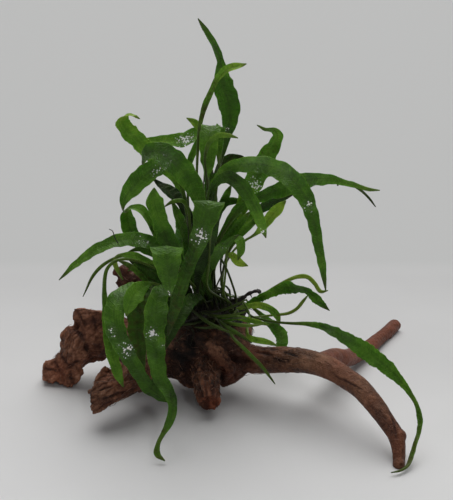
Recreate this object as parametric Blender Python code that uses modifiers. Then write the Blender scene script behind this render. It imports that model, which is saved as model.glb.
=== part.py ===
"""Java fern growing on a branching piece of driftwood.

Metres, +Z up, +X to the right and -Y to the front. The origin is on the surface that the wood stands on,
under the middle of the bounding box.

Every route is drawn from the front, from an eye a little above the plant. A route point is (across, down,
reach, size): its place in the front drawing, in drawing units from the top left corner, then how far it
reaches forward of the plant's middle, and the radius of a limb or the width of a frond there, both in
millimetres.
"""

import itertools
import math

import bmesh
import bpy
import numpy as np

# Driving dimensions. DRAWN_WIDTH units of the front drawing stand for OBJECT_WIDTH at the plant's middle.
OBJECT_WIDTH = 0.302
DRAWN_WIDTH = 377.0
STALK_WIDTH = 0.0018
FROND_THICKNESS = 0.0009
FITTING_GAP = 0.0003

# How a stalk leaves its rhizome: the gap under its foot, how high it rises first, and how it leans there.
STALK_STANDOFF = 0.0012
STALK_RISE = 0.006
STALK_LEAN = 0.3

# How fronds that cross are kept apart: the room between them, and how often the leaning is repeated.
FROND_CLEARANCE = 0.0021
LEAN_ROUNDS = 120
CROSSING_MARGIN = 0.0056
LARGEST_ROW_GAP = 2

# How finely the routes are followed.
FROND_ROW_SPACING = 0.0074
FEWEST_FROND_ROWS = 7
LIMB_ROW_SPACING = 0.012
FEWEST_LIMB_ROWS = 4
RHIZOME_ROWS = 9
TWIG_ROWS = 8
SAMPLES_PER_KNOT = 24
LIMB_ROUNDNESS = 4
STEM_ROUNDNESS = 2
CAP_WELD = 0.00001
SHARP_ANGLE = math.radians(45)

# The slab under the floor, which trims the feet flat.
FLOOR_SLAB_WIDTH = 0.6
FLOOR_SLAB_DEPTH = 0.05

# The front drawing: its middle, and the eye that it is drawn for, which looks at a point AIM_HEIGHT above
# the floor. PLAN_MIDDLE is the middle of the bounding box, seen from above, in the drawing's own frame.
DRAWN_MIDDLE = (226.0, 250.0)
EYE_UNITS = 1000.0
EYE_ELEVATION = math.radians(20)
AIM_HEIGHT = 0.120
PLAN_MIDDLE = (0.0067, -0.0146)

MILLIMETRE = 0.001
FORWARD = np.array([0.0, math.cos(EYE_ELEVATION), -math.sin(EYE_ELEVATION)])
UPWARD = np.array([0.0, math.sin(EYE_ELEVATION), math.cos(EYE_ELEVATION)])
SIDEWAYS = np.array([1.0, 0.0, 0.0])
EYE_DISTANCE = EYE_UNITS * OBJECT_WIDTH / DRAWN_WIDTH
EYE = np.array([0.0, 0.0, AIM_HEIGHT]) - EYE_DISTANCE * FORWARD
EYE_IN_PART = EYE - np.array([*PLAN_MIDDLE, 0.0])

# Limbs of the wood: what each is cut to fit against, and its route.
LIMBS = {
    "driftwood_trunk": (
        (),
        [
            (118, 340, -6, 17),
            (140, 344, -2, 21),
            (172, 348, 4, 25),
            (204, 348, 7, 26),
            (230, 352, 9, 21),
            (246, 357, 12, 15),
        ],
    ),
    "driftwood_left_limb": (
        ("driftwood_trunk",),
        [(132, 340, -4, 15), (104, 334, -9, 19), (86, 337, -9, 18), (72, 357, -8, 14), (58, 375, -8, 12)],
    ),
    "driftwood_front_left_stub": (
        ("driftwood_trunk",),
        [(160, 356, 12, 14), (143, 370, 38, 12.5), (120, 383, 54, 12), (102, 393, 66, 11),
         (94, 399, 71, 8.5)],
    ),
    "driftwood_front_middle_stub": (
        ("driftwood_trunk",),
        [(205, 352, 12, 13), (206, 371, 32, 12), (207, 388, 49, 10), (208, 397, 56, 8)],
    ),
    "driftwood_long_branch": (
        ("driftwood_trunk",),
        [
            (236, 358, 12, 12),
            (266, 360, 22, 11),
            (287, 360, 32, 10.5),
            (306, 362, 42, 9.6),
            (325, 367, 54, 9.4),
            (344, 377, 66, 9.4),
            (361, 389, 78, 9),
            (375, 405, 92, 8.6),
            (386, 421, 103, 7.4),
            (396, 437, 112, 6.6),
            (399, 454, 120, 5),
            (398, 473, 127, 4.6),
        ],
    ),
    "driftwood_rear_branch": (
        ("driftwood_long_branch",),
        [
            (318, 363, 44, 7),
            (334, 360, 10, 8),
            (348, 359, -22, 7.6),
            (364, 351, -48, 6.8),
            (380, 339, -78, 6.2),
            (395, 326, -107, 6),
        ],
    ),
    "driftwood_back_stub": (
        ("driftwood_trunk", "driftwood_left_limb"),
        [(160, 330, -14, 12), (148, 305, -22, 12), (133, 287, -28, 10.5), (121, 276, -32, 8.5)],
    ),
    "driftwood_right_knob": (
        ("driftwood_trunk", "driftwood_long_branch"),
        [(226, 345, 0, 12), (235, 334, -6, 12), (241, 328, -9, 10)],
    ),
}
FLAT_FOOTED = ("driftwood_left_limb", "driftwood_long_branch", "driftwood_rear_branch")

# Creeping stems on top of the trunk, from the back to the front.
RHIZOMES = {
    "rhizome_back": [(184, 304, -17, 3.4), (204, 300, -18, 3.8), (228, 303, -18, 3.8), (246, 309, -18, 3)],
    "rhizome_middle": [(180, 313, -4, 3.4), (202, 307, -5, 4), (226, 307, -5, 4), (246, 314, -6, 3)],
    "rhizome_front": [(180, 323, 10, 3.2), (200, 316, 9, 4), (222, 315, 9, 4), (242, 322, 8, 3)],
}
TWIG = [(229, 301, 2, 1.6), (238, 299, 6, 2), (248, 294, 9, 2), (261, 293, 12, 1.3)]

# Fronds: the rhizome that each grows from, how far its face turns from the front, how far it spins from
# stalk to tip, both in degrees, and its route after the stalk's foot.
FRONDS = {
    "frond_crown": (
        "rhizome_middle", 12, 10,
        [(208, 285, -4, 1.8), (209, 262, -4, 1.8), (210, 215, -6, 2), (214, 185, -7, 2),
         (221, 160, -8, 3), (225, 145, -10, 5), (227.5, 133, -10, 8), (229.5, 123, -10, 12),
         (230.2, 112, -10, 15.2), (228.3, 102, -10, 17.4), (225.2, 92, -9, 16.5), (222.7, 84, -8.5, 14.6),
         (221.4, 77, -8, 15.2), (221.3, 71.5, -7.5, 11), (221, 66, -7, 6.6), (220.3, 61, -6, 6.2),
         (218.4, 54, -4, 5.8), (212.5, 41, -1, 4.8), (204.8, 29, 2, 4), (198, 18.5, 4, 0.8)],
    ),
    "frond_crown_lime_tip": (
        "rhizome_front", -25, 0,
        [(204, 280, 8, 1.8), (204, 255, 8, 1.8), (198, 212, 10, 1.8), (197, 168, 12, 2),
         (200, 128, 14, 3.4), (205, 108, 14, 5), (211, 94, 14, 5), (216.5, 82, 14, 5), (222, 74, 14, 5.4),
         (229, 68.6, 14, 6.4), (238, 66.4, 13, 5.2), (246.5, 63.8, 12, 0.8)],
    ),
    "frond_back_left_pale": (
        "rhizome_back", 20, 10,
        [(204, 280, -22, 1.8), (203, 250, -26, 1.8), (206, 195, -30, 2.5), (209, 155, -32, 5),
         (206.5, 139, -34, 10), (196, 136, -36, 13), (183, 140, -38, 13), (168, 140.2, -40, 9),
         (148, 140.2, -42, 4.5), (138, 141, -42, 0.8)],
    ),
    "frond_upper_left_curl": (
        "rhizome_back", 10, 20,
        [(188, 255, -22, 1.8), (185, 210, -25, 3), (175, 180, -26, 6), (162.2, 166, -26, 10),
         (148.9, 151.7, -26, 13.2), (134.8, 137.8, -24, 13.5), (123.4, 125.6, -22, 13),
         (122, 117.8, -19, 10.8), (127.5, 114.3, -15, 6.8), (133.8, 115, -13, 4.8),
         (139.7, 118.8, -11, 0.8)],
    ),
    "frond_upper_left_broad": (
        "rhizome_front", 5, 15,
        [(202, 285, 20, 1.8), (202, 255, 22, 1.8), (202.5, 222, 30, 5), (196, 192, 35, 13),
         (183, 171.5, 38, 17), (168, 157.5, 38, 18), (155, 150.8, 36, 14), (146.5, 154.5, 34, 10),
         (142.5, 165, 33, 0.8)],
    ),
    "frond_left_drop": (
        "rhizome_middle", 0, 10,
        [(192, 268, 4, 1.8), (187, 212, 12, 3), (180, 182, 16, 4), (171, 167.5, 17.5, 8),
         (159, 166.5, 18, 13), (143.5, 176.5, 18, 15.5), (131.3, 189, 17, 13), (124, 200, 15, 7),
         (123, 211, 13, 0.8)],
    ),
    "frond_left_dark": (
        "rhizome_middle", 30, 10,
        [(196, 266, -4, 1.8), (191, 228, -6, 6), (184.5, 207, -7, 10), (174, 194.5, -8, 11),
         (163, 187, -9, 8), (153, 178.5, -10, 0.8)],
    ),
    "frond_left_middle": (
        "rhizome_front", 10, -15,
        [(185, 282, 22, 1.8), (178, 262, 29, 7), (169, 244, 33, 14), (164, 232, 34.5, 14),
         (159.2, 219, 35, 12), (156, 208, 35, 13), (154, 200, 34.5, 12.6), (153.6, 194.5, 34, 12),
         (153.9, 191, 33.5, 10.6), (154.2, 189, 33.2, 7), (154.3, 187.6, 33, 0.8)],
    ),
    "frond_left_fold": (
        "rhizome_middle", 35, 0,
        [(184, 278, 2, 1.8), (166, 250, 5, 2.5), (156.3, 237, 6, 6), (150, 224.6, 6, 8),
         (144, 213.5, 5, 8.6), (136.5, 208.5, 3, 7.2), (129, 209, 2, 4), (124, 212.6, 1, 0.8)],
    ),
    "frond_left_upright": (
        "rhizome_back", -15, 10,
        [(182, 286, -16, 1.8), (160, 260, -19, 3), (142, 246, -20, 9), (131.5, 232, -20, 12.5),
         (127.8, 220, -19, 12), (127.5, 212, -18, 9.5), (129.5, 206.5, -17, 0.8)],
    ),
    "frond_left_long": (
        "rhizome_middle", 25, -15,
        [(178, 276, 10, 1.8), (168, 254, 14, 5), (152, 243.5, 16, 11), (130, 239.5, 17, 11.5),
         (108, 244.4, 17, 10.5), (89.7, 254.2, 16, 8.8), (73.6, 266.3, 14, 5.4), (59, 280, 12, 0.8)],
    ),
    "frond_left_thin": (
        "rhizome_back", -20, 10,
        [(180, 292, -10, 1.6), (152, 267, -8, 1.6), (131, 254.4, -8, 1.8), (114.4, 258.4, -8, 2.4),
         (101.2, 266.6, -8, 3), (92.4, 276.8, -8, 2.6), (87.2, 287.6, -8, 1.7), (83, 296.6, -8, 0.7)],
    ),
    "frond_left_hanging": (
        "rhizome_front", -10, 10,
        [(176, 284, 18, 1.8), (150, 266, 27, 1.8), (124.4, 259, 34, 2.2), (110, 264.4, 38, 2.6),
         (105.6, 274, 41, 3), (104.4, 286, 43, 3.2), (104.9, 305, 47, 5), (107.6, 328, 53, 8),
         (110.5, 348, 60, 9), (115.5, 366, 68, 8.5), (119.5, 378, 71, 6), (123.5, 387, 74, 0.8)],
    ),
    "frond_left_small": (
        "rhizome_middle", 15, 0,
        [(180, 284, 10, 1.6), (158, 266, 21, 2.2), (145, 260, 25, 5), (135, 256, 27, 6), (126, 255, 27, 4.5),
         (115, 258, 26, 0.8)],
    ),
    "frond_front_left_long": (
        "rhizome_front", 8, 12,
        [(182, 298, 26, 1.8), (162, 289, 42, 3), (140, 286.5, 54, 8), (123, 293, 62, 13.5),
         (114.5, 309, 69, 15.5), (116, 330, 75, 15), (125, 350, 80, 13), (136.5, 369, 84, 11),
         (147, 385, 87, 11), (158, 394, 89, 9.5), (165, 399, 90, 6), (170, 402.5, 90, 0.8)],
    ),
    "frond_front_left_short": (
        "rhizome_front", -12, 0,
        [(184, 302, 32, 1.8), (167, 290, 50, 2.2), (154, 283.5, 60, 2.6), (145, 285.5, 66, 6),
         (138, 290.5, 71, 13.5), (132.5, 297.5, 76, 14), (129, 306, 79, 9.5), (126, 316.5, 82, 0.8)],
    ),
    "frond_front_long": (
        "rhizome_front", 0, 10,
        [(190, 302, 34, 1.8), (173, 287, 56, 5), (161, 292, 72, 12), (156, 312, 85, 17),
         (155, 335, 94, 15), (157, 358, 101, 13), (160.3, 378, 106, 11), (169.3, 392, 110, 9),
         (172.8, 407, 114, 6.6), (168.8, 423, 118, 6), (159.8, 440, 122, 2.8), (156.4, 450, 125, 4.6),
         (159, 456.6, 126, 4.4), (165, 461, 127, 0.8)],
    ),
    "frond_front_right_of_middle": (
        "rhizome_front", 15, 10,
        [(206, 302, 26, 1.8), (200, 296, 42, 6), (189, 302, 56, 11), (180, 316, 64, 11), (172, 332, 69, 8),
         (165, 350, 72, 0.8)],
    ),
    "frond_front_broad": (
        "rhizome_front", 0, 0,
        [(196, 288, 36, 1.8), (181, 272, 50, 2.5), (171, 257, 60, 9), (167.5, 247, 70, 21),
         (166.5, 245.5, 76, 23), (166.8, 252, 82, 22), (167.3, 261, 85, 19.5), (168, 271, 86, 16),
         (169, 281, 86, 11.5), (170, 290, 86, 5.5), (170.5, 297, 86, 0.8)],
    ),
    "frond_middle_wet": (
        "rhizome_front", 16, 0,
        [(208, 288, 20, 1.8), (209, 264, 28, 1.8), (210, 236, 40, 2.5), (210.2, 212, 50, 10),
         (209.8, 200.4, 57, 19.5), (209.6, 199.6, 61, 22), (208.2, 205, 64, 21.5),
         (206.3, 213, 66.5, 19.6), (203, 225, 69, 16), (199.5, 238, 72, 13.8), (194, 252, 75, 11),
         (188, 267, 76, 9.8), (182, 284, 76, 9.5), (176, 304, 76, 9), (171, 322, 75, 5.5),
         (168, 336, 74, 0.8)],
    ),
    "frond_middle_dark_strap": (
        "rhizome_front", 40, 0,
        [(198, 276, 14, 1.8), (189, 248, 17, 6), (181.5, 225, 19, 10), (175.5, 210, 20, 7),
         (172, 200, 20, 0.8)],
    ),
    "frond_middle_dark_left": (
        "rhizome_middle", -30, 20,
        [(208, 284, -4, 1.8), (209, 255, -6, 1.8), (212, 215, -6, 4), (211, 192, -6.5, 9),
         (208.5, 178, -6, 8), (206, 166, -5, 0.8)],
    ),
    "frond_middle_dark_right": (
        "rhizome_back", 25, 10,
        [(207, 284, -19, 1.8), (210, 260, -20, 1.8), (214, 236, -20, 4), (214, 210, -20, 7),
         (211.5, 185, -19, 7), (211, 162, -17, 0.8)],
    ),
    "frond_top_arch_left": (
        "rhizome_middle", 10, 10,
        [(207, 280, 2, 1.8), (207, 250, 4, 1.8), (208, 195, 5, 2), (208.5, 150, 6, 3), (209.5, 132, 9, 9),
         (210.5, 124.8, 13, 15), (210.5, 128.5, 17, 15), (208.6, 145, 21, 14), (208, 162, 24, 11),
         (206.5, 182, 26, 0.8)],
    ),
    "frond_top_arch_right": (
        "rhizome_middle", -10, 0,
        [(210, 285, 1, 1.8), (211, 240, 2, 1.8), (217, 185, 3, 2), (221, 145, 4, 3.4),
         (221.5, 127, 8, 6.5), (220, 127.3, 12, 7.5), (219, 142, 17, 6.5), (218.3, 165, 19, 0.8)],
    ),
    "frond_top_lime_tip": (
        "rhizome_middle", 20, 0,
        [(212, 240, 8, 1.8), (208, 190, 10, 2), (205, 158, 14, 2), (209, 143, 17, 3.4), (216, 136, 18, 4),
         (225, 134.8, 19, 4.2), (238, 138, 19, 0.8)],
    ),
    "frond_right_arch": (
        "rhizome_front", 12, 10,
        [(206, 285, 18, 1.8), (206, 262, 20, 1.8), (205, 222, 26, 2), (211, 188, 33, 4),
         (227, 169, 40, 8), (247, 164.4, 46, 11.4), (266.7, 165.4, 51, 13.2), (284.5, 173, 56, 13.8),
         (299.8, 188, 60, 13.6), (309.5, 206.6, 62, 11), (315.2, 227, 64, 9), (319, 247, 65, 7.4),
         (322.8, 268, 65, 5.6), (325.8, 291, 64, 0.8)],
    ),
    "frond_right_curl": (
        "rhizome_middle", 10, 20,
        [(211, 290, -7, 1.8), (211, 270, -8, 1.8), (218, 248, -8, 3), (233, 226, -8, 6),
         (247, 196, -8, 13), (259.4, 171, -6, 16.5), (267.8, 154, -4, 14), (275, 142.6, -2, 10.6),
         (277.6, 133.6, 1, 7.6), (272, 128.8, 4, 5), (265, 129.2, 7, 3.4), (257, 125, 9, 0.8)],
    ),
    "frond_right_long": (
        "rhizome_middle", 15, 15,
        [(211, 290, 3, 1.8), (210.5, 270, 6, 1.8), (218, 244, 10, 2.2), (231, 221, 14, 2.8),
         (247, 203.5, 18, 5.5), (266, 194.3, 23, 9.6), (285, 187.6, 27, 12.8), (302, 181, 30, 12.6),
         (320, 178.2, 32, 10.4), (339, 180.4, 34, 6.6), (356, 185.4, 35, 4.2), (369, 189.4, 35.6, 3),
         (380, 190.3, 36, 0.8)],
    ),
    "frond_right_dark": (
        "rhizome_back", 30, -10,
        [(225.5, 288, -21, 1.6), (220.6, 268, -24, 1.6), (225, 247, -27, 3), (238, 228, -29, 6),
         (250, 217, -30, 8), (265, 206, -31, 9), (280, 199.5, -31, 6), (296, 193, -30, 0.8)],
    ),
    "frond_right_lime": (
        "rhizome_middle", -20, 0,
        [(228, 296, 5, 1.8), (221, 284, 6, 1.8), (223, 272, 7, 1.8), (231, 254, 9, 1.8),
         (243, 242, 10, 2), (254.5, 234.8, 10, 2.6), (262.4, 227.4, 10, 7), (270.3, 217.2, 11, 9),
         (279, 208.2, 11, 8.4), (284, 203, 11, 5.6), (286, 200.5, 11, 0.8)],
    ),
    "frond_right_drop": (
        "rhizome_front", 5, 10,
        [(236, 297, 21, 1.8), (227, 270, 25, 1.8), (220, 256, 28, 1.8), (211, 222, 34, 2.5),
         (211, 196, 39, 4), (218, 181, 44, 7.5), (230, 177.5, 48, 9.5), (243, 188, 52, 10.5),
         (253, 204, 54, 9.5), (260, 220.5, 55, 7.5), (264.5, 233, 55, 4.4), (266, 238, 55, 0.8)],
    ),
    "frond_right_hook": (
        "rhizome_front", -15, 0,
        [(224, 296, 14, 1.8), (224.5, 283, 16, 1.8), (226, 268, 19, 1.8), (227, 250, 26, 2.4),
         (232, 239, 31, 5), (238.5, 239.6, 35, 8), (240.6, 248, 37, 7.5), (238, 260, 38, 0.8)],
    ),
    "frond_middle_diagonal": (
        "rhizome_front", 20, 10,
        [(209, 290, 18, 1.8), (205, 276, 24, 6), (210, 264, 27, 9.5), (217, 253, 29, 10),
         (225, 244, 30, 8.5), (233, 238, 31, 5), (239, 235, 31, 0.8)],
    ),
    "frond_right_inner": (
        "rhizome_middle", -25, 0,
        [(209, 286, 8, 1.8), (210, 262, 10, 1.8), (219, 240, 12, 4), (230, 222, 14, 7.5),
         (239, 208, 15, 7.5), (247, 198, 16, 0.8)],
    ),
    "frond_right_jagged": (
        "rhizome_back", 10, -10,
        [(238, 306.5, -13, 1.8), (249, 303.6, -7, 4.6), (262, 297.2, -2, 6.8), (275, 291.6, 2, 7),
         (283.5, 288.4, 3, 10), (289, 287, 4, 11.5), (297, 288.5, 6, 7), (305, 290.4, 7, 5.6),
         (310.5, 292.8, 8, 6), (315.3, 297.4, 9, 8), (320, 302.2, 10, 6.2), (325, 306.8, 10, 4),
         (329.5, 310.5, 10, 0.8)],
    ),
    "frond_right_thin_curl": (
        "rhizome_back", 0, 30,
        [(246, 303.5, -20, 1.6), (262, 295, -20, 2), (276, 286.4, -19, 2.2), (288.5, 280, -18, 3),
         (297.5, 276.8, -18, 3.6), (305.8, 276.3, -16, 3.8), (312, 280, -13, 3.8), (317, 286.6, -10, 3.4),
         (321.3, 292, -7, 3.2), (325.5, 292.8, -5, 2.4), (328, 290.5, -4, 0.7)],
    ),
    "frond_right_behind": (
        "rhizome_back", 10, 20,
        [(243, 302, -23, 1.8), (250.5, 306, -25, 2), (257.5, 311.5, -26, 3.4), (264.5, 317.8, -27, 5.4),
         (272.8, 325, -29, 9), (280.6, 333.5, -31, 11.6), (282, 342.5, -33, 9.6), (279.3, 352, -35, 7.5),
         (277, 362, -36, 0.8)],
    ),
    "frond_right_floor": (
        "rhizome_middle", 10, 15,
        [(248, 313.5, 5, 1.8), (264, 320, 20, 2), (288, 323.2, 36, 2.2), (306, 323.8, 45, 3.4),
         (324, 327, 52, 5.8), (347.6, 338.8, 60, 10.2), (368.6, 353, 68, 12.6), (387.6, 367.6, 77, 11),
         (403.2, 383.6, 86, 6.4), (413.8, 399.2, 95, 3.4), (419.4, 413, 102, 4.4), (420, 427, 109, 4.2),
         (416.2, 441, 116, 3.4), (412.2, 455, 124, 4.4), (407.2, 466, 133, 2.8), (399.6, 471, 138, 1.8),
         (391, 472.6, 140, 0.8)],
    ),
    "frond_over_branch": (
        "rhizome_front", 15, 0,
        [(230, 323, 26, 1.8), (231, 335, 38, 2), (238, 342.5, 43, 2.6), (245.5, 350, 46, 3.2),
         (254, 358.5, 48, 3.2), (263, 368, 50, 2.8), (270, 377, 50.5, 2), (275, 384, 51, 0.8)],
    ),
    "frond_on_branch": (
        "rhizome_middle", 20, 0,
        [(249, 312, 5, 1.8), (248.5, 322, 16, 2), (247, 331, 26, 3), (249.5, 337.6, 33, 4.4),
         (257, 339.6, 36, 5.6), (265, 341, 38, 5), (272, 343.4, 39, 3.6), (277.5, 346, 40, 0.8)],
    ),
    "frond_rear_left": (
        "rhizome_back", 170, 20,
        [(200, 262, -30, 1.8), (196, 228, -44, 4), (192, 212, -58, 12), (187, 214, -74, 16),
         (183, 232, -88, 14), (181, 256, -97, 9), (182, 282, -100, 0.8)],
    ),
    "frond_rear_middle": (
        "rhizome_back", 180, -10,
        [(208, 285, -25, 1.8), (210, 252, -32, 1.8), (210, 207, -46, 3), (209, 186, -58, 10),
         (208, 190, -72, 13), (207, 210, -84, 12), (206, 238, -92, 8), (205, 266, -95, 0.8)],
    ),
    "frond_rear_right": (
        "rhizome_back", 190, 15,
        [(214, 288, -26, 1.8), (210, 264, -32, 1.8), (211, 240, -42, 4), (209, 226, -54, 11),
         (206, 232, -68, 14), (203, 250, -80, 12), (201, 272, -88, 7), (200, 292, -90, 0.8)],
    ),
    "frond_rear_low_left": (
        "rhizome_back", 160, 0,
        [(194, 288, -30, 1.8), (184, 272, -46, 5), (174, 270, -62, 11), (166, 280, -74, 11),
         (160, 297, -80, 7), (157, 316, -82, 0.8)],
    ),
    "frond_rear_low_right": (
        "rhizome_back", 200, 0,
        [(216, 296, -30, 1.8), (213, 287, -46, 6), (210, 295, -62, 11), (208, 308, -72, 10),
         (206, 322, -77, 6), (205, 338, -78, 0.8)],
    ),
}

WOOD_ROUGHNESS = 0.62
KNOB_ROUGHNESS = 0.5
RHIZOME_ROUGHNESS = 0.55
TWIG_ROUGHNESS = 0.6
LEAF_ROUGHNESS = 0.3
WOOD_COLOUR = (0.105, 0.040, 0.026, 1)
KNOB_COLOUR = (0.120, 0.062, 0.055, 1)
RHIZOME_COLOUR = (0.030, 0.035, 0.014, 1)
TWIG_COLOUR = (0.025, 0.014, 0.010, 1)
LEAF_COLOURS = {
    "bright": (0.045, 0.160, 0.012, 1),
    "dark": (0.016, 0.060, 0.010, 1),
    "lime": (0.150, 0.300, 0.030, 1),
}


def sighted(across, down, reach):
    """The point in space that the front drawing shows at (across, down), reach millimetres forward."""
    ray = FORWARD + SIDEWAYS * (across - DRAWN_MIDDLE[0]) / EYE_UNITS
    ray = ray + UPWARD * (DRAWN_MIDDLE[1] - down) / EYE_UNITS
    point = EYE + ray * (-reach * MILLIMETRE - EYE[1]) / ray[1]
    return point - np.array([*PLAN_MIDDLE, 0.0])


def placed(route):
    """The route's points as rows of x, y, z and size, all in metres."""
    return np.array([[*sighted(*row[:3]), row[3] * MILLIMETRE] for row in route])


def unit(vectors):
    return vectors / np.linalg.norm(vectors, axis=-1, keepdims=True)


def smooth_run(knots, count):
    """COUNT rows along a smooth curve through the knots, evenly spaced by length."""
    steps = np.linalg.norm(np.diff(knots[:, :3], axis=0), axis=1)
    times = np.concatenate([[0], np.cumsum(np.sqrt(steps))])
    slopes = np.gradient(knots, times, axis=0)
    fine = np.linspace(0, times[-1], SAMPLES_PER_KNOT * len(knots))
    span = np.clip(np.searchsorted(times, fine, side="right") - 1, 0, len(knots) - 2)
    width = (times[span + 1] - times[span])[:, None]
    s = (fine - times[span])[:, None] / width
    curve = (2 * s**3 - 3 * s**2 + 1) * knots[span] + (3 * s**2 - 2 * s**3) * knots[span + 1]
    curve = curve + ((s**3 - 2 * s**2 + s) * slopes[span] + (s**3 - s**2) * slopes[span + 1]) * width
    lengths = np.linalg.norm(np.diff(curve[:, :3], axis=0), axis=1)
    run = np.concatenate([[0], np.cumsum(lengths)])
    at = np.linspace(0, run[-1], count)
    return np.column_stack([np.interp(at, run, column) for column in curve.T])


def run_length(knots):
    fine = smooth_run(knots, SAMPLES_PER_KNOT * len(knots))
    return np.linalg.norm(np.diff(fine[:, :3], axis=0), axis=1).sum()


def lean_order(name):
    """Sorts fronds from the left to the right by where their stalks go, the second point counting most."""
    first, second = FRONDS[name][3][:2]
    return second[0] + first[0] / 2


def stalk_feet():
    """Where each stalk stands on its rhizome: side by side, in the order of the ways that they lean."""
    feet = {}
    for rhizome, route in RHIZOMES.items():
        growing = [name for name, frond in FRONDS.items() if frond[0] == rhizome]
        growing.sort(key=lean_order)
        rows = smooth_run(placed(route), len(growing) + 2)[1:-1]
        for name, row in zip(growing, rows):
            feet[name] = row[:3] + [0, 0, row[3] + STALK_STANDOFF]
    return feet


def frond_runs():
    """Each frond as evenly spaced rows of x, y, z and width, from the stalk's foot to the tip."""
    runs = {}
    feet = stalk_feet()
    for name, (_, _, _, route) in FRONDS.items():
        foot = np.array([*feet[name], STALK_WIDTH])
        knots = placed(route)
        shoot = foot + STALK_RISE * unit(knots[0] - foot) * STALK_LEAN + [0, 0, STALK_RISE, 0]
        shoot[3] = STALK_WIDTH
        knots = np.vstack([foot, shoot, knots])
        count = max(FEWEST_FROND_ROWS, round(run_length(knots) / FROND_ROW_SPACING))
        runs[name] = smooth_run(knots, count)
    return runs


def lean_apart(runs):
    """Fronds that cross in the front drawing lean apart along the line of sight until they are clear."""
    names = list(runs)
    sights = {name: unit(runs[name][:, :3] - EYE_IN_PART) for name in names}
    depths = {name: np.linalg.norm(runs[name][:, :3] - EYE_IN_PART, axis=1) for name in names}
    starts = {name: depths[name].copy() for name in names}
    tilts = {name: np.sin(np.radians(FRONDS[name][1])) for name in names}
    crossings = []
    for one, other in itertools.combinations(names, 2):
        apart = np.linalg.norm(sights[one][:, None] - sights[other][None], axis=2) * EYE_DISTANCE
        half_one = runs[one][:, 3] / 2
        half_other = runs[other][:, 3] / 2
        near = apart < half_one[:, None] + half_other[None] + CROSSING_MARGIN
        rows = np.flatnonzero(near.any(axis=1))
        for stretch in np.split(rows, np.flatnonzero(np.diff(rows) > LARGEST_ROW_GAP) + 1):
            if not len(stretch):
                continue
            i, j = np.nonzero(near[stretch])
            i = stretch[i]
            side = 1 if (depths[one][i] - depths[other][j]).mean() > 0 else -1
            need = FROND_CLEARANCE + abs(tilts[one]) * half_one[i] + abs(tilts[other]) * half_other[j]
            crossings.append((one, other, i, j, side, need))
    for _ in range(LEAN_ROUNDS):
        moves = {name: np.zeros((2, len(runs[name]))) for name in names}
        for one, other, i, j, side, need in crossings:
            lack = need - side * (depths[one][i] - depths[other][j])
            lack = np.clip(lack, 0, None) / 2
            np.maximum.at(moves[one][(1 - side) // 2], i, lack)
            np.maximum.at(moves[other][(1 + side) // 2], j, lack)
        for name in names:
            move = moves[name][0] - moves[name][1]
            lean = depths[name] - starts[name] + move
            lean[0] = 0
            padded = np.concatenate([[0], lean, lean[-1:]])
            lean = (padded[:-2] + 2 * padded[1:-1] + padded[2:]) / 4
            lean[0] = 0
            depths[name] = starts[name] + lean
    for name in names:
        runs[name][:, :3] = EYE_IN_PART + sights[name] * depths[name][:, None]
    return runs


def blade_sides(run, turn, spin):
    """The direction across the blade at each row: it faces the eye where the blade is widest."""
    spine = run[:, :3]
    along = unit(np.gradient(spine, axis=0))
    sides = np.empty_like(spine)
    widest = int(np.argmax(run[:, 3]))
    sides[widest] = np.cross(along[widest], unit(spine[widest] - EYE_IN_PART))
    for row in range(widest + 1, len(run)):
        sides[row] = sides[row - 1] - along[row] * (sides[row - 1] @ along[row])
        sides[row] = unit(sides[row])
    for row in range(widest - 1, -1, -1):
        sides[row] = sides[row + 1] - along[row] * (sides[row + 1] @ along[row])
        sides[row] = unit(sides[row])
    sides = unit(sides)
    angles = np.radians(turn + spin * (np.linspace(0, 1, len(run)) - widest / len(run)))[:, None]
    return sides * np.cos(angles) + np.cross(along, sides) * np.sin(angles)


def collection_named(name, hidden=False):
    collection = bpy.data.collections.new(name)
    collection.hide_render = hidden
    bpy.context.scene.collection.children.link(collection)
    return collection


def material_named(name, colour, roughness):
    material = bpy.data.materials.new(name)
    material.use_nodes = True
    shader = material.node_tree.nodes["Principled BSDF"]
    shader.inputs["Base Color"].default_value = colour
    shader.inputs["Roughness"].default_value = roughness
    return material


def tube(name, rows, sides_setting, collection):
    """A closed tube along the rows, made from a curve with its caps welded on."""
    data = bpy.data.curves.new(name, "CURVE")
    data.dimensions = "3D"
    data.bevel_depth = 1.0
    data.bevel_resolution = sides_setting
    data.use_fill_caps = True
    spline = data.splines.new("POLY")
    spline.points.add(len(rows) - 1)
    for point, row in zip(spline.points, rows):
        point.co = (*row[:3], 1)
        point.radius = row[3]
    curve = bpy.data.objects.new(name + "_curve", data)
    bpy.context.scene.collection.objects.link(curve)
    graph = bpy.context.evaluated_depsgraph_get()
    mesh = bpy.data.meshes.new_from_object(curve.evaluated_get(graph))
    bm = bmesh.new()
    bm.from_mesh(mesh)
    bmesh.ops.remove_doubles(bm, verts=bm.verts, dist=CAP_WELD)
    bmesh.ops.recalc_face_normals(bm, faces=bm.faces)
    bm.to_mesh(mesh)
    bm.free()
    mesh.name = name
    made = bpy.data.objects.new(name, mesh)
    made.matrix_world = curve.matrix_world
    bpy.data.objects.remove(curve)
    collection.objects.link(made)
    return made


def grown_rows(rows):
    """The rows of a tube that stands one fitting gap proud all over, its ends included."""
    rows = rows.copy()
    rows[:, 3] += FITTING_GAP
    rows[0, :3] += unit(rows[0, :3] - rows[1, :3]) * FITTING_GAP
    rows[-1, :3] += unit(rows[-1, :3] - rows[-2, :3]) * FITTING_GAP
    return rows


def as_cutter(made):
    made.hide_render = True
    made.display_type = "WIRE"
    return made


def cut(target, cutter):
    modifier = target.modifiers.new("cut_by_" + cutter.name, "BOOLEAN")
    modifier.operation = "DIFFERENCE"
    modifier.object = cutter


def finish_round(made, material):
    made.data.materials.append(material)
    made.data.shade_smooth()
    made.data.set_sharp_from_angle(angle=SHARP_ANGLE)


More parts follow.
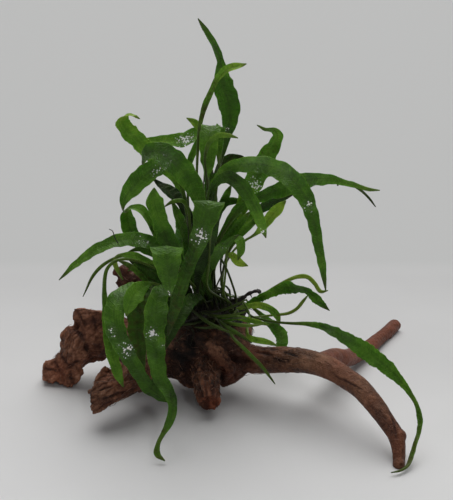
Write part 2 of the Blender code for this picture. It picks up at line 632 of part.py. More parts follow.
def under_floor_cutter(cutters):
    """A slab whose top is the surface that the object stands on."""
    mesh = bpy.data.meshes.new("under_floor")
    bm = bmesh.new()
    bmesh.ops.create_cube(bm, size=1)
    bmesh.ops.scale(bm, vec=(FLOOR_SLAB_WIDTH, FLOOR_SLAB_WIDTH, FLOOR_SLAB_DEPTH), verts=bm.verts)
    bmesh.ops.translate(bm, vec=(0, 0, -FLOOR_SLAB_DEPTH / 2), verts=bm.verts)
    bm.to_mesh(mesh)
    bm.free()
    slab = bpy.data.objects.new("under_floor", mesh)
    cutters.objects.link(slab)
    return as_cutter(slab)


def make_wood(parts, cutters):
    wood = material_named("driftwood", WOOD_COLOUR, WOOD_ROUGHNESS)
    knob = material_named("driftwood_smooth", KNOB_COLOUR, KNOB_ROUGHNESS)
    floor = under_floor_cutter(cutters)
    grown = {}
    for name, (against, route) in LIMBS.items():
        knots = placed(route)
        rows = smooth_run(knots, max(FEWEST_LIMB_ROWS, round(run_length(knots) / LIMB_ROW_SPACING)))
        limb = tube(name, rows, LIMB_ROUNDNESS, parts)
        grown[name] = as_cutter(tube(name + "_clearance", grown_rows(rows), LIMB_ROUNDNESS, cutters))
        for neighbour in against:
            cut(limb, grown[neighbour])
        if name in FLAT_FOOTED:
            cut(limb, floor)
        finish_round(limb, knob if name.endswith("knob") else wood)
    return grown


def make_rhizomes(parts, grown):
    skin = material_named("rhizome", RHIZOME_COLOUR, RHIZOME_ROUGHNESS)
    bark = material_named("rhizome_twig", TWIG_COLOUR, TWIG_ROUGHNESS)
    for name, route in RHIZOMES.items():
        stem = tube(name, smooth_run(placed(route), RHIZOME_ROWS), STEM_ROUNDNESS, parts)
        for neighbour in ("driftwood_trunk", "driftwood_right_knob", "driftwood_back_stub"):
            cut(stem, grown[neighbour])
        finish_round(stem, skin)
    twig = tube("rhizome_twig", smooth_run(placed(TWIG), TWIG_ROWS), STEM_ROUNDNESS, parts)
    finish_round(twig, bark)


def make_frond(name, run, turn, spin, material, parts):
    """A ribbon with the frond's own width at each row, thickened to a thin leaf."""
    half_sides = blade_sides(run, turn, spin) * run[:, 3:4] / 2
    mesh = bpy.data.meshes.new(name)
    bm = bmesh.new()
    bmesh.ops.create_grid(bm, x_segments=1, y_segments=len(run) - 1, size=1)
    for vertex in bm.verts:
        row = round((vertex.co.y + 1) / 2 * (len(run) - 1))
        vertex.co = run[row, :3] + half_sides[row] * vertex.co.x
    bm.to_mesh(mesh)
    bm.free()
    frond = bpy.data.objects.new(name, mesh)
    parts.objects.link(frond)
    thickness = frond.modifiers.new("thickness", "SOLIDIFY")
    thickness.thickness = FROND_THICKNESS
    thickness.offset = 0
    finish_round(frond, material)


def leaf_kind(name):
    if "lime" in name or "curl" in name:
        return "lime"
    return "dark" if "dark" in name or "behind" in name else "bright"


def make_fronds(parts):
    leaves = {}
    for kind, colour in LEAF_COLOURS.items():
        leaves[kind] = material_named("leaf_" + kind, colour, LEAF_ROUGHNESS)
    for name, run in lean_apart(frond_runs()).items():
        _, turn, spin, _ = FRONDS[name]
        make_frond(name, run, turn, spin, leaves[leaf_kind(name)], parts)


def main():
    for old in list(bpy.data.objects):
        bpy.data.objects.remove(old)
    parts = collection_named("java_fern_on_driftwood")
    cutters = collection_named("cutters", hidden=True)
    grown = make_wood(parts, cutters)
    make_rhizomes(parts, grown)
    make_fronds(parts)


main()
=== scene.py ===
import itertools
import math
import re
from collections import namedtuple

import bmesh
import bpy
import numpy as np
from mathutils import Matrix, Vector
from mathutils.bvhtree import BVHTree


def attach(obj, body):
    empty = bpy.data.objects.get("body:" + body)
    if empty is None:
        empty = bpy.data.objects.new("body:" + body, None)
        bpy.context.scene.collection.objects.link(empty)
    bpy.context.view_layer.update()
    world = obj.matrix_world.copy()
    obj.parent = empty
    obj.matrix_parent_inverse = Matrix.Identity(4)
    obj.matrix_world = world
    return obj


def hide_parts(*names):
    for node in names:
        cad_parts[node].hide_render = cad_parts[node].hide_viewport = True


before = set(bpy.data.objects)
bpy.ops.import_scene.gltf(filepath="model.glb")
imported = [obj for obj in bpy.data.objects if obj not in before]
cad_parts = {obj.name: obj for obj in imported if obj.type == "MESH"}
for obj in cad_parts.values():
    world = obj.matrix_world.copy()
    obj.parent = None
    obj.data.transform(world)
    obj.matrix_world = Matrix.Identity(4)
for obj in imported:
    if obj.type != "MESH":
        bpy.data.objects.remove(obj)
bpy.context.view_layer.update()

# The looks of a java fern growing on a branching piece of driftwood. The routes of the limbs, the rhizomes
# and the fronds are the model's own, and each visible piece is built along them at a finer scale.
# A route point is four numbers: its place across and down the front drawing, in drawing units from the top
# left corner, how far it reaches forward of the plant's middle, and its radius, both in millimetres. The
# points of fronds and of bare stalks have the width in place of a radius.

# The front drawing, and the eye that it is drawn for, as in the model.
OBJECT_WIDTH = 0.302
DRAWN_WIDTH = 377.0
DRAWN_MIDDLE = (226.0, 250.0)
EYE_UNITS = 1000.0
EYE_ELEVATION = math.radians(20)
AIM_HEIGHT = 0.120
PLAN_MIDDLE = (0.0067, -0.0146)
MILLIMETRE = 0.001
FORWARD = np.array([0.0, math.cos(EYE_ELEVATION), -math.sin(EYE_ELEVATION)])
UPWARD = np.array([0.0, math.sin(EYE_ELEVATION), math.cos(EYE_ELEVATION)])
SIDEWAYS = np.array([1.0, 0.0, 0.0])
EYE_DISTANCE = EYE_UNITS * OBJECT_WIDTH / DRAWN_WIDTH
EYE = np.array([0.0, 0.0, AIM_HEIGHT]) - EYE_DISTANCE * FORWARD
EYE_IN_PART = EYE - np.array([*PLAN_MIDDLE, 0.0])

# Sizes of the model's routes, as in the model.
STALK_WIDTH = 0.0018
STALK_STANDOFF = 0.0012
STALK_RISE = 0.006
STALK_LEAN = 0.3
FROND_CLEARANCE = 0.0021
LEAN_ROUNDS = 120
CROSSING_MARGIN = 0.0056
LARGEST_ROW_GAP = 2
FROND_ROW_SPACING = 0.0074
FEWEST_FROND_ROWS = 7
SAMPLES_PER_KNOT = 24


# Tables written as text: an entry starts with its name and a colon at the left edge, bars part its fields,
# semicolons part groups of rows, commas part rows, and spaces part numbers.
def rows_of(text):
    return [tuple(float(number) for number in row.split()) for row in text.split(",")]


def row_groups(text):
    return [rows_of(group) for group in text.split(";")]


def entries(text):
    pieces = re.split(r"^(\w+):", text, flags=re.MULTILINE)[1:]
    return dict(zip(pieces[::2], pieces[1::2]))


def routes(text):
    return {name: rows_of(route) for name, route in entries(text).items()}


Frond = namedtuple("Frond", "home turn spin fold waving tones dryness route")


def fronds(text):
    table = {}
    for name, entry in entries(text).items():
        shape, tones, dryness, route = entry.split("|")
        home, *shape = shape.split()
        table[name] = Frond(home, *map(float, shape), rows_of(tones)[0], rows_of(dryness)[0], rows_of(route))
    return table


LIMBS = routes("""
driftwood_trunk:
  118 340 -6 17, 140 344 -2 21, 172 348 4 25, 204 348 7 26, 230 352 9 21, 246 357 12 15
driftwood_left_limb:
  132 340 -4 15, 104 334 -9 19, 86 337 -9 18, 72 357 -8 14, 58 375 -8 12
driftwood_front_left_stub:
  160 356 12 14, 143 370 38 12.5, 120 383 54 12, 102 393 66 11, 94 399 71 8.5
driftwood_front_middle_stub:
  205 352 12 13, 206 371 32 12, 207 388 49 10, 208.5 401 58.5 8
driftwood_long_branch:
  236 358 12 12, 266 360 22 11, 287 360 32 10.5, 306 361.3 42 9.8, 325 366.3 54 9, 344 376.6 66 8.4,
  361 389 78 8, 375 405 92 7.5, 386.5 421 103 6.8, 396.5 437 112 6.3, 399 454 120 5, 398 473 127 4.6
driftwood_rear_branch:
  318 362 44 7, 333 358.4 10 8.4, 348 357.6 -22 7.7, 364.5 349.8 -50 6.8, 380.5 337.5 -81 6.2,
  395.5 324.5 -110.5 6
driftwood_back_stub:
  160 330 -14 12, 148 305 -22 12, 133 287 -28 10.5, 121 276 -32 8.5
driftwood_right_knob:
  226 345 0 12, 235 334 -6 12, 241 328 -9 10""")
RHIZOMES = routes("""
rhizome_back:
  184 304 -17 3.4, 204 300 -18 3.8, 228 303 -18 3.8, 246 309 -18 3
rhizome_middle:
  180 313 -4 3.4, 202 307 -5 4, 226 307 -5 4, 246 314 -6 3
rhizome_front:
  180 323 10 3.2, 200 316 9 4, 222 315 9 4, 242 322 8 3""")
TWIG = rows_of("""
    229 301 2 1.9, 236 300 5 1.9, 241 299 7 2.2, 246 295.5 8.5 1.9, 252 292.5 10 1.9, 257 291 11 2,
    261.5 292.5 12 1.7""")

# Each frond: the rhizome that it grows from, how far its face turns from the front and how far it spins from
# stalk to tip, how sharply it folds along the midrib, all in degrees, and how much its margins wave. Then
# its tones from foot to tip, where -1 is nearly black and 1 is lime; the darkest tones, on fronds deep in
# the clump, are partly the leaf's own colour and partly painted shade. Then how dry and brown it is from
# foot to tip, where 0 is fresh and 1 is brown. Then its route after the stalk's foot.
FRONDS = fronds("""
crown: middle 12 10 6 0.7 | 0 -0.2 -0.12 | 0 0 0.1 |
  208 285 -4 1.8, 209 262 -4 1.8, 210 215 -6 2, 214 185 -7 2, 221 160 -8 3, 225 145 -10 5,
  227.5 133 -10 8, 229.5 123 -10 12, 230.2 112 -10 15.2, 228.3 102 -10 17.4, 225.2 92 -9 16.5,
  222.7 84 -8.5 14.6, 221.4 77 -8 15.2, 221.3 71.5 -7.5 11, 221 66 -7 6.6, 220.3 61 -6 6.2,
  218.4 54 -4 5.8, 212.5 41 -1 4.8, 204.8 29 2 4, 198 18.5 4 0.8
crown_lime_tip: front -25 0 30 0.5 | -0.1 0 0.1 0.1 0.2 0.25 0.2 0.5 0.9 |
  0.3 0.3 0.2 0.2 0.2 0.4 0.6 0.4 0 |
  204 280 8 1.8, 204 255 8 1.8, 198 212 10 1.8, 197 168 12 2, 200 128 14 3.4, 205 108 14 5, 211 94 14 5,
  216.5 82 14 5, 222 74 14 5.4, 229 68.6 14 6.4, 238 66.4 13 5.2, 246.5 63.8 12 0.8
back_left_pale: back 20 10 10 0.8 | -0.2 0.2 0.55 | 0 |
  204 280 -22 1.8, 203 250 -26 1.8, 206 195 -30 2.5, 209 155 -32 5, 206.5 139 -34 10, 196 136 -36 13,
  183 140 -38 13, 168 140.2 -40 9, 148 140.2 -42 4.5, 138 141 -42 0.8
upper_left_curl: back 10 20 12 1 | -0.2 0.15 0.35 0.75 | 0 |
  188 255 -22 1.8, 185 210 -25 3, 175 180 -26 6, 162.2 166 -26 10, 148.9 151.7 -26 13.2,
  134.8 137.8 -24 13.5, 123.4 125.6 -22 13, 122 117.8 -19 10.8, 127.5 114.3 -15 6.8, 133.8 115 -13 4.8,
  139.7 118.8 -11 0.8
upper_left_broad: front 5 15 8 1.1 | -0.35 0 -0.15 | 0 |
  202 285 20 1.8, 202 255 22 1.8, 202.5 222 30 5, 196 192 35 13, 183 171.5 38 17, 168 157.5 38 18,
  155 150.8 36 14, 146.5 154.5 34 10, 142.5 165 33 0.8
left_drop: middle 0 10 10 0.8 | -0.1 0.08 0 | 0 |
  192 268 4 1.8, 187 212 12 3, 180 182 16 4, 171 167.5 17.5 8, 159 166.5 18 13, 143.5 176.5 18 15.5,
  131.3 189 17 13, 124 200 15 7, 123 211 13 0.8
left_dark: middle 30 10 12 0.8 | -0.6 -0.85 -0.95 | 0.2 |
  196 266 -4 1.8, 191 228 -6 6, 184.5 207 -7 10, 174 194.5 -8 11, 163 187 -9 8, 153 178.5 -10 0.8
left_middle: front 10 -15 14 0.9 | -0.4 -0.25 0.4 | 0.1 0.1 0 |
  185 282 22 1.8, 178 262 29 7, 169 244 33 14, 164 232 34.5 14, 159.2 219 35 12, 156 208 35 13,
  154 200 34.5 12.6, 153.6 194.5 34 12, 153.9 191 33.5 10.6, 154.2 189 33.2 7, 154.3 187.6 33 0.8
left_fold: middle 35 0 25 0.6 | -0.1 0.3 0.1 | 0 |
  184 278 2 1.8, 166 250 5 2.5, 156.3 237 6 6, 150 224.6 6 8, 144 213.5 5 8.6, 136.5 208.5 3 7.2,
  129 209 2 4, 124 212.6 1 0.8
left_upright: back -15 10 15 0.8 | -0.3 -0.15 0.35 | 0 0.1 0 |
  182 286 -16 1.8, 160 260 -19 3, 142 246 -20 9, 131.5 232 -20 12.5, 127.8 220 -19 12, 127.5 212 -18 9.5,
  129.5 206.5 -17 0.8
left_long: middle 25 -15 14 0.7 | -0.3 -0.05 0.15 | 0.1 0 0.2 |
  178 276 10 1.8, 168 254 14 5, 152 243.5 16 11, 130 239.5 17 11.5, 108 244.4 17 10.5, 89.7 254.2 16 8.8,
  73.6 266.3 14 5.4, 59 280 12 0.8
left_thin: back -20 10 14 0.6 | -0.3 0.2 0.05 | 0.3 0 0.3 |
  180 292 -10 1.6, 152 267 -8 1.6, 131 254.4 -8 1.8, 114.4 258.4 -8 2.4, 101.2 266.6 -8 3,
  92.4 276.8 -8 2.6, 87.2 287.6 -8 1.7, 83 296.6 -8 0.7
left_hanging: front -10 10 10 0.8 | -0.3 0.2 0.2 | 0.1 0 0 |
  176 284 18 1.8, 150 266 27 1.8, 124.4 259 34 2.2, 110 264.4 38 2.6, 105.6 274 41 3, 104.4 286 43 3.2,
  104.9 305 47 5, 107.6 328 53 8, 110.5 348 60 9, 115.5 366 68 8.5, 119.5 378 71 6, 123.5 387 74 0.8
left_small: middle 15 0 20 0.8 | -0.2 0.4 0.25 | 0.1 0 0.1 |
  180 284 10 1.6, 158 266 21 2.2, 145 260 25 5, 135 256 27 6, 126 255 27 4.5, 115 258 26 0.8
front_left_long: front 8 12 8 1 | -0.2 0 -0.4 | 0 0 0.1 |
  182 298 26 1.8, 162 289 42 3, 140 286.5 54 8, 123 293 62 13.5, 114.5 309 69 15.5, 116 330 75 15,
  125 350 80 13, 136.5 369 84 11, 147 385 87 11, 158 394 89 9.5, 165 399 90 6, 170 402.5 90 0.8
front_left_short: front -12 0 12 0.7 | -0.1 0.15 0.2 | 0 |
  184 302 32 1.8, 167 290 50 2.2, 154 283.5 60 2.6, 145 285.5 66 6, 138 290.5 71 13.5, 132.5 297.5 76 14,
  129 306 79 9.5, 126 316.5 82 0.8
front_long: front 0 10 8 1.1 | -0.3 -0.02 -0.05 -0.3 0.3 | 0.1 0 0 0 0.55 |
  190 302 34 1.8, 173 287 56 5, 161 292 72 12, 156 312 85 17, 155 335 94 15, 157 358 101 13,
  160.3 378 106 11, 169.3 392 110 9, 172.8 407 114 6.6, 168.8 423 118 6, 159.8 440 122 2.8,
  156.4 450 125 4.6, 159 456.6 126 4.4, 165 461 127 0.8
front_right_of_middle: front 15 10 12 1 | -0.6 -0.45 -0.3 | 0.1 |
  206 302 26 1.8, 200 296 42 6, 189 302 56 11, 180 316 64 11, 172 332 69 8, 165 350 72 0.8
front_broad: front 0 0 -10 0.5 | -0.3 -0.05 -0.1 | 0 |
  196 288 36 1.8, 181 272 50 2.5, 171 257 60 9, 167.5 247 70 21, 166.5 245.5 76 23, 166.8 252 82 22,
  167.3 261 85 19.5, 168 271 86 16, 169 281 86 11.5, 170 290 86 5.5, 170.5 297 86 0.8
middle_wet: front 16 0 -6 0.7 | -0.2 0 0.1 -0.25 -0.4 | 0 0 0 0.2 0.35 |
  208 288 20 1.8, 209 264 28 1.8, 210 236 40 2.5, 210.2 212 50 10, 209.8 200.4 57 19.5, 209.6 199.6 61 22,
  208.2 205 64 21.5, 206.3 213 66.5 19.6, 203 225 69 16, 199.5 238 72 13.8, 194 252 75 11, 188 267 76 9.8,
  182 284 76 9.5, 176 304 76 9, 171 322 75 5.5, 168 336 74 0.8
middle_dark_strap: front 40 0 10 0.6 | -0.4 -0.15 0.1 | 0.2 |
  198 276 14 1.8, 189 248 17 6, 181.5 225 19 10, 175.5 210 20 7, 172 200 20 0.8
middle_dark_left: middle -30 20 10 0.8 | -0.5 -0.35 -0.15 | 0 0.1 0.1 |
  208 284 -4 1.8, 209 255 -6 1.8, 212 215 -6 4, 211 192 -6.5 9, 208.5 178 -6 8, 206 166 -5 0.8
middle_dark_right: back 25 10 10 0.8 | -0.6 -0.45 -0.2 | 0 0.1 0.1 |
  207 284 -19 1.8, 210 260 -20 1.8, 214 236 -20 4, 214 210 -20 7, 211.5 185 -19 7, 211 162 -17 0.8
top_arch_left: middle 10 10 12 0.8 | -0.3 0.05 0.3 | 0.1 0 0 |
  207 280 2 1.8, 207 250 4 1.8, 208 195 5 2, 208.5 150 6 3, 209.5 132 9 9, 210.5 124.8 13 15,
  210.5 128.5 17 15, 208.6 145 21 14, 208 162 24 11, 206.5 182 26 0.8
top_arch_right: middle -10 0 15 0.8 | -0.3 0.2 0.3 | 0.1 0 0 |
  210 285 1 1.8, 211 240 2 1.8, 217 185 3 2, 221 145 4 3.4, 221.5 127 8 6.5, 220 127.3 12 7.5,
  219 142 17 6.5, 218.3 165 19 0.8
top_lime_tip: middle 20 0 20 0.5 | -0.3 -0.35 -0.35 -0.1 0.7 | 0.2 0.2 0.2 0.2 0 |
  212 240 8 1.8, 208 190 10 2, 205 158 14 2, 209 143 17 3.4, 216 136 18 4, 225 134.8 19 4.2,
  238 138 19 0.8
right_arch: front 12 10 8 0.9 | -0.4 -0.1 0.15 0 -0.05 | 0 |
  206 285 18 1.8, 206 262 20 1.8, 205 222 26 2, 211 188 33 4, 227 169 40 8, 247 164.4 46 11.4,
  266.7 165.4 51 13.2, 284.5 173 56 13.8, 299.8 188 60 13.6, 309.5 206.6 62 11, 315.2 227 64 9,
  319 247 65 7.4, 322.8 268 65 5.6, 325.8 291 64 0.8
right_curl: middle 10 20 14 0.9 | 0 0.4 0.8 0.05 0.4 | 0 0 0.1 0.3 0.1 |
  211 290 -7 1.8, 211 270 -8 1.8, 218 248 -8 3, 233 226 -8 6, 247 196 -8 13, 259.4 171 -6 16.5,
  267.8 154 -4 14, 275 142.6 -2 10.6, 277.6 133.6 1 7.6, 272 128.8 4 5, 265 129.2 7 3.4, 257 125 9 0.8
right_long: middle 15 15 16 0.9 | -0.4 0 0 0 0.5 | 0.1 0 0 0 0.1 |
  211 290 3 1.8, 210.5 270 6 1.8, 218 244 10 2.2, 231 221 14 2.8, 247 203.5 18 5.5, 266 194.3 23 9.6,
  285 187.6 27 12.8, 302 181 30 12.6, 320 178.2 32 10.4, 339 180.4 34 6.6, 356 185.4 35 4.2,
  369 189.4 35.6 3, 380 190.3 36 0.8
right_dark: back 30 -10 12 0.8 | -0.6 -0.5 -0.55 | 0.1 |
  225.5 288 -21 1.6, 220.6 268 -24 1.6, 225 247 -27 3, 238 228 -29 6, 250 217 -30 8, 265 206 -31 9,
  280 199.5 -31 6, 296 193 -30 0.8
right_lime: middle -20 0 14 0.6 | 0 0.6 0.75 | 0 |
  228 296 5 1.8, 221 284 6 1.8, 223 272 7 1.8, 231 254 9 1.8, 243 242 10 2, 254.5 234.8 10 2.6,
  262.4 227.4 10 7, 270.3 217.2 11 9, 279 208.2 11 8.4, 284 203 11 5.6, 286 200.5 11 0.8
right_drop: front 5 10 10 0.7 | -0.2 -0.4 -0.45 -0.25 0.3 | 0 |
  236 297 21 1.8, 227 270 25 1.8, 220 256 28 1.8, 211 222 34 2.5, 211 196 39 4, 218 181 44 7.5,
  230 177.5 48 9.5, 243 188 52 10.5, 253 204 54 9.5, 260 220.5 55 7.5, 264.5 233 55 4.4, 266 238 55 0.8
right_hook: front -15 0 14 0.7 | -0.1 0.3 0.1 | 0 0 0.1 |
  224 296 14 1.8, 224.5 283 16 1.8, 226 268 19 1.8, 227 250 26 2.4, 232 239 31 5, 238.5 239.6 35 8,
  240.6 248 37 7.5, 238 260 38 0.8
middle_diagonal: front 20 10 12 0.8 | -0.4 -0.1 -0.2 | 0.1 0 0 |
  209 290 18 1.8, 205 276 24 6, 210 264 27 9.5, 217 253 29 10, 225 244 30 8.5, 233 238 31 5,
  239 235 31 0.8
right_inner: middle -25 0 12 0.8 | -0.4 0.1 0.15 | 0 |
  209 286 8 1.8, 210 262 10 1.8, 219 240 12 4, 230 222 14 7.5, 239 208 15 7.5, 247 198 16 0.8
right_jagged: back 10 -10 14 1.6 | 0.1 0.35 0.15 -0.1 0.05 | 0 0 0 0 0.1 |
  238 306.5 -13 1.8, 249 303.6 -7 4.6, 262 297.2 -2 6.8, 275 291.6 2 7, 283.5 288.4 3 10, 289 287 4 11.5,
  297 288.5 6 7, 305 290.4 7 5.6, 310.5 292.8 8 6, 315.3 297.4 9 8, 320 302.2 10 6.2, 325 306.8 10 4,
  329.5 310.5 10 0.8
right_thin_curl: back 0 30 20 0.7 | 0.4 1 1.2 | 0 |
  246 303.5 -20 1.6, 262 295 -20 2, 276 286.4 -19 2.2, 288.5 280 -18 3, 297.5 276.8 -18 3.6,
  305.8 276.3 -16 3.8, 312 280 -13 3.8, 317 286.6 -10 3.4, 321.3 292 -7 3.2, 325.5 292.8 -5 2.4,
  328 290.5 -4 0.7
right_behind: back 10 20 12 1.1 | 0.2 0.15 0 | 0 |
  243 302 -23 1.8, 250.5 306 -25 2, 257.5 311.5 -26 3.4, 264.5 317.8 -27 5.4, 272.8 325 -29 9,
  280.6 333.5 -31 11.6, 282 342.5 -33 9.6, 279.3 352 -35 7.5, 277 362 -36 0.8
right_floor: middle 10 15 10 0.9 | 0.3 0.06 0 0.2 0.1 | 0 0 0 0.05 0.9 |
  248 313.5 5 1.8, 264 320 20 2, 288 323.2 36 2.2, 306 323.8 45 3.4, 324 327 52 5.8, 347.6 338.8 60 10.2,
  368.6 353 68 12.6, 387.6 367.6 77 11, 403.2 383.6 86 6.4, 413.8 399.2 95 3.4, 419.4 413 102 4.4,
  420 427 109 4.2, 416.2 441 116 3.4, 412.2 455 124 4.4, 407.2 466 133 2.8, 399.6 471 138 1.8,
  391 472.6 140 0.8
over_branch: front 15 0 12 0.5 | 0 0.15 0.1 | 0.3 0.1 0.3 |
  230 323 26 1.8, 231 335 38 2, 238 342.5 43 2.6, 245.5 350 46 3.2, 254 358.5 48 3.2, 263 368 50 2.8,
  270 377 50.5 2, 275 384 51 0.8
on_branch: middle 20 0 16 0.8 | 0.2 0.6 0.8 | 0 0 0.1 |
  249 312 5 1.8, 248.5 322 16 2, 247 331 26 3, 249.5 337.6 33 4.4, 257 339.6 36 5.6, 265 341 38 5,
  272 343.4 39 3.6, 277.5 346 40 0.8
rear_left: back 170 20 8 1 | -0.25 0 0.05 | 0 |
  200 262 -30 1.8, 196 228 -44 4, 192 212 -58 12, 187 214 -74 16, 183 232 -88 14, 181 256 -97 9,
  182 282 -100 0.8
rear_middle: back 180 -10 8 1 | -0.25 0 0.05 | 0 |
  208 285 -25 1.8, 210 252 -32 1.8, 210 207 -46 3, 209 186 -58 10, 208 190 -72 13, 207 210 -84 12,
  206 238 -92 8, 205 266 -95 0.8
rear_right: back 190 15 8 1 | -0.25 0 0.05 | 0 |
  214 288 -26 1.8, 210 264 -32 1.8, 211 240 -42 4, 209 226 -54 11, 206 232 -68 14, 203 250 -80 12,
  201 272 -88 7, 200 292 -90 0.8
rear_low_left: back 160 0 8 1 | -0.25 0 0.05 | 0 |
  194 288 -30 1.8, 184 272 -46 5, 174 270 -62 11, 166 280 -74 11, 160 297 -80 7, 157 316 -82 0.8
rear_low_right: back 200 0 8 1 | -0.25 0 0.05 | 0 |
  216 296 -30 1.8, 213 287 -46 6, 210 295 -62 11, 208 308 -72 10, 206 322 -77 6, 205 338 -78 0.8""")

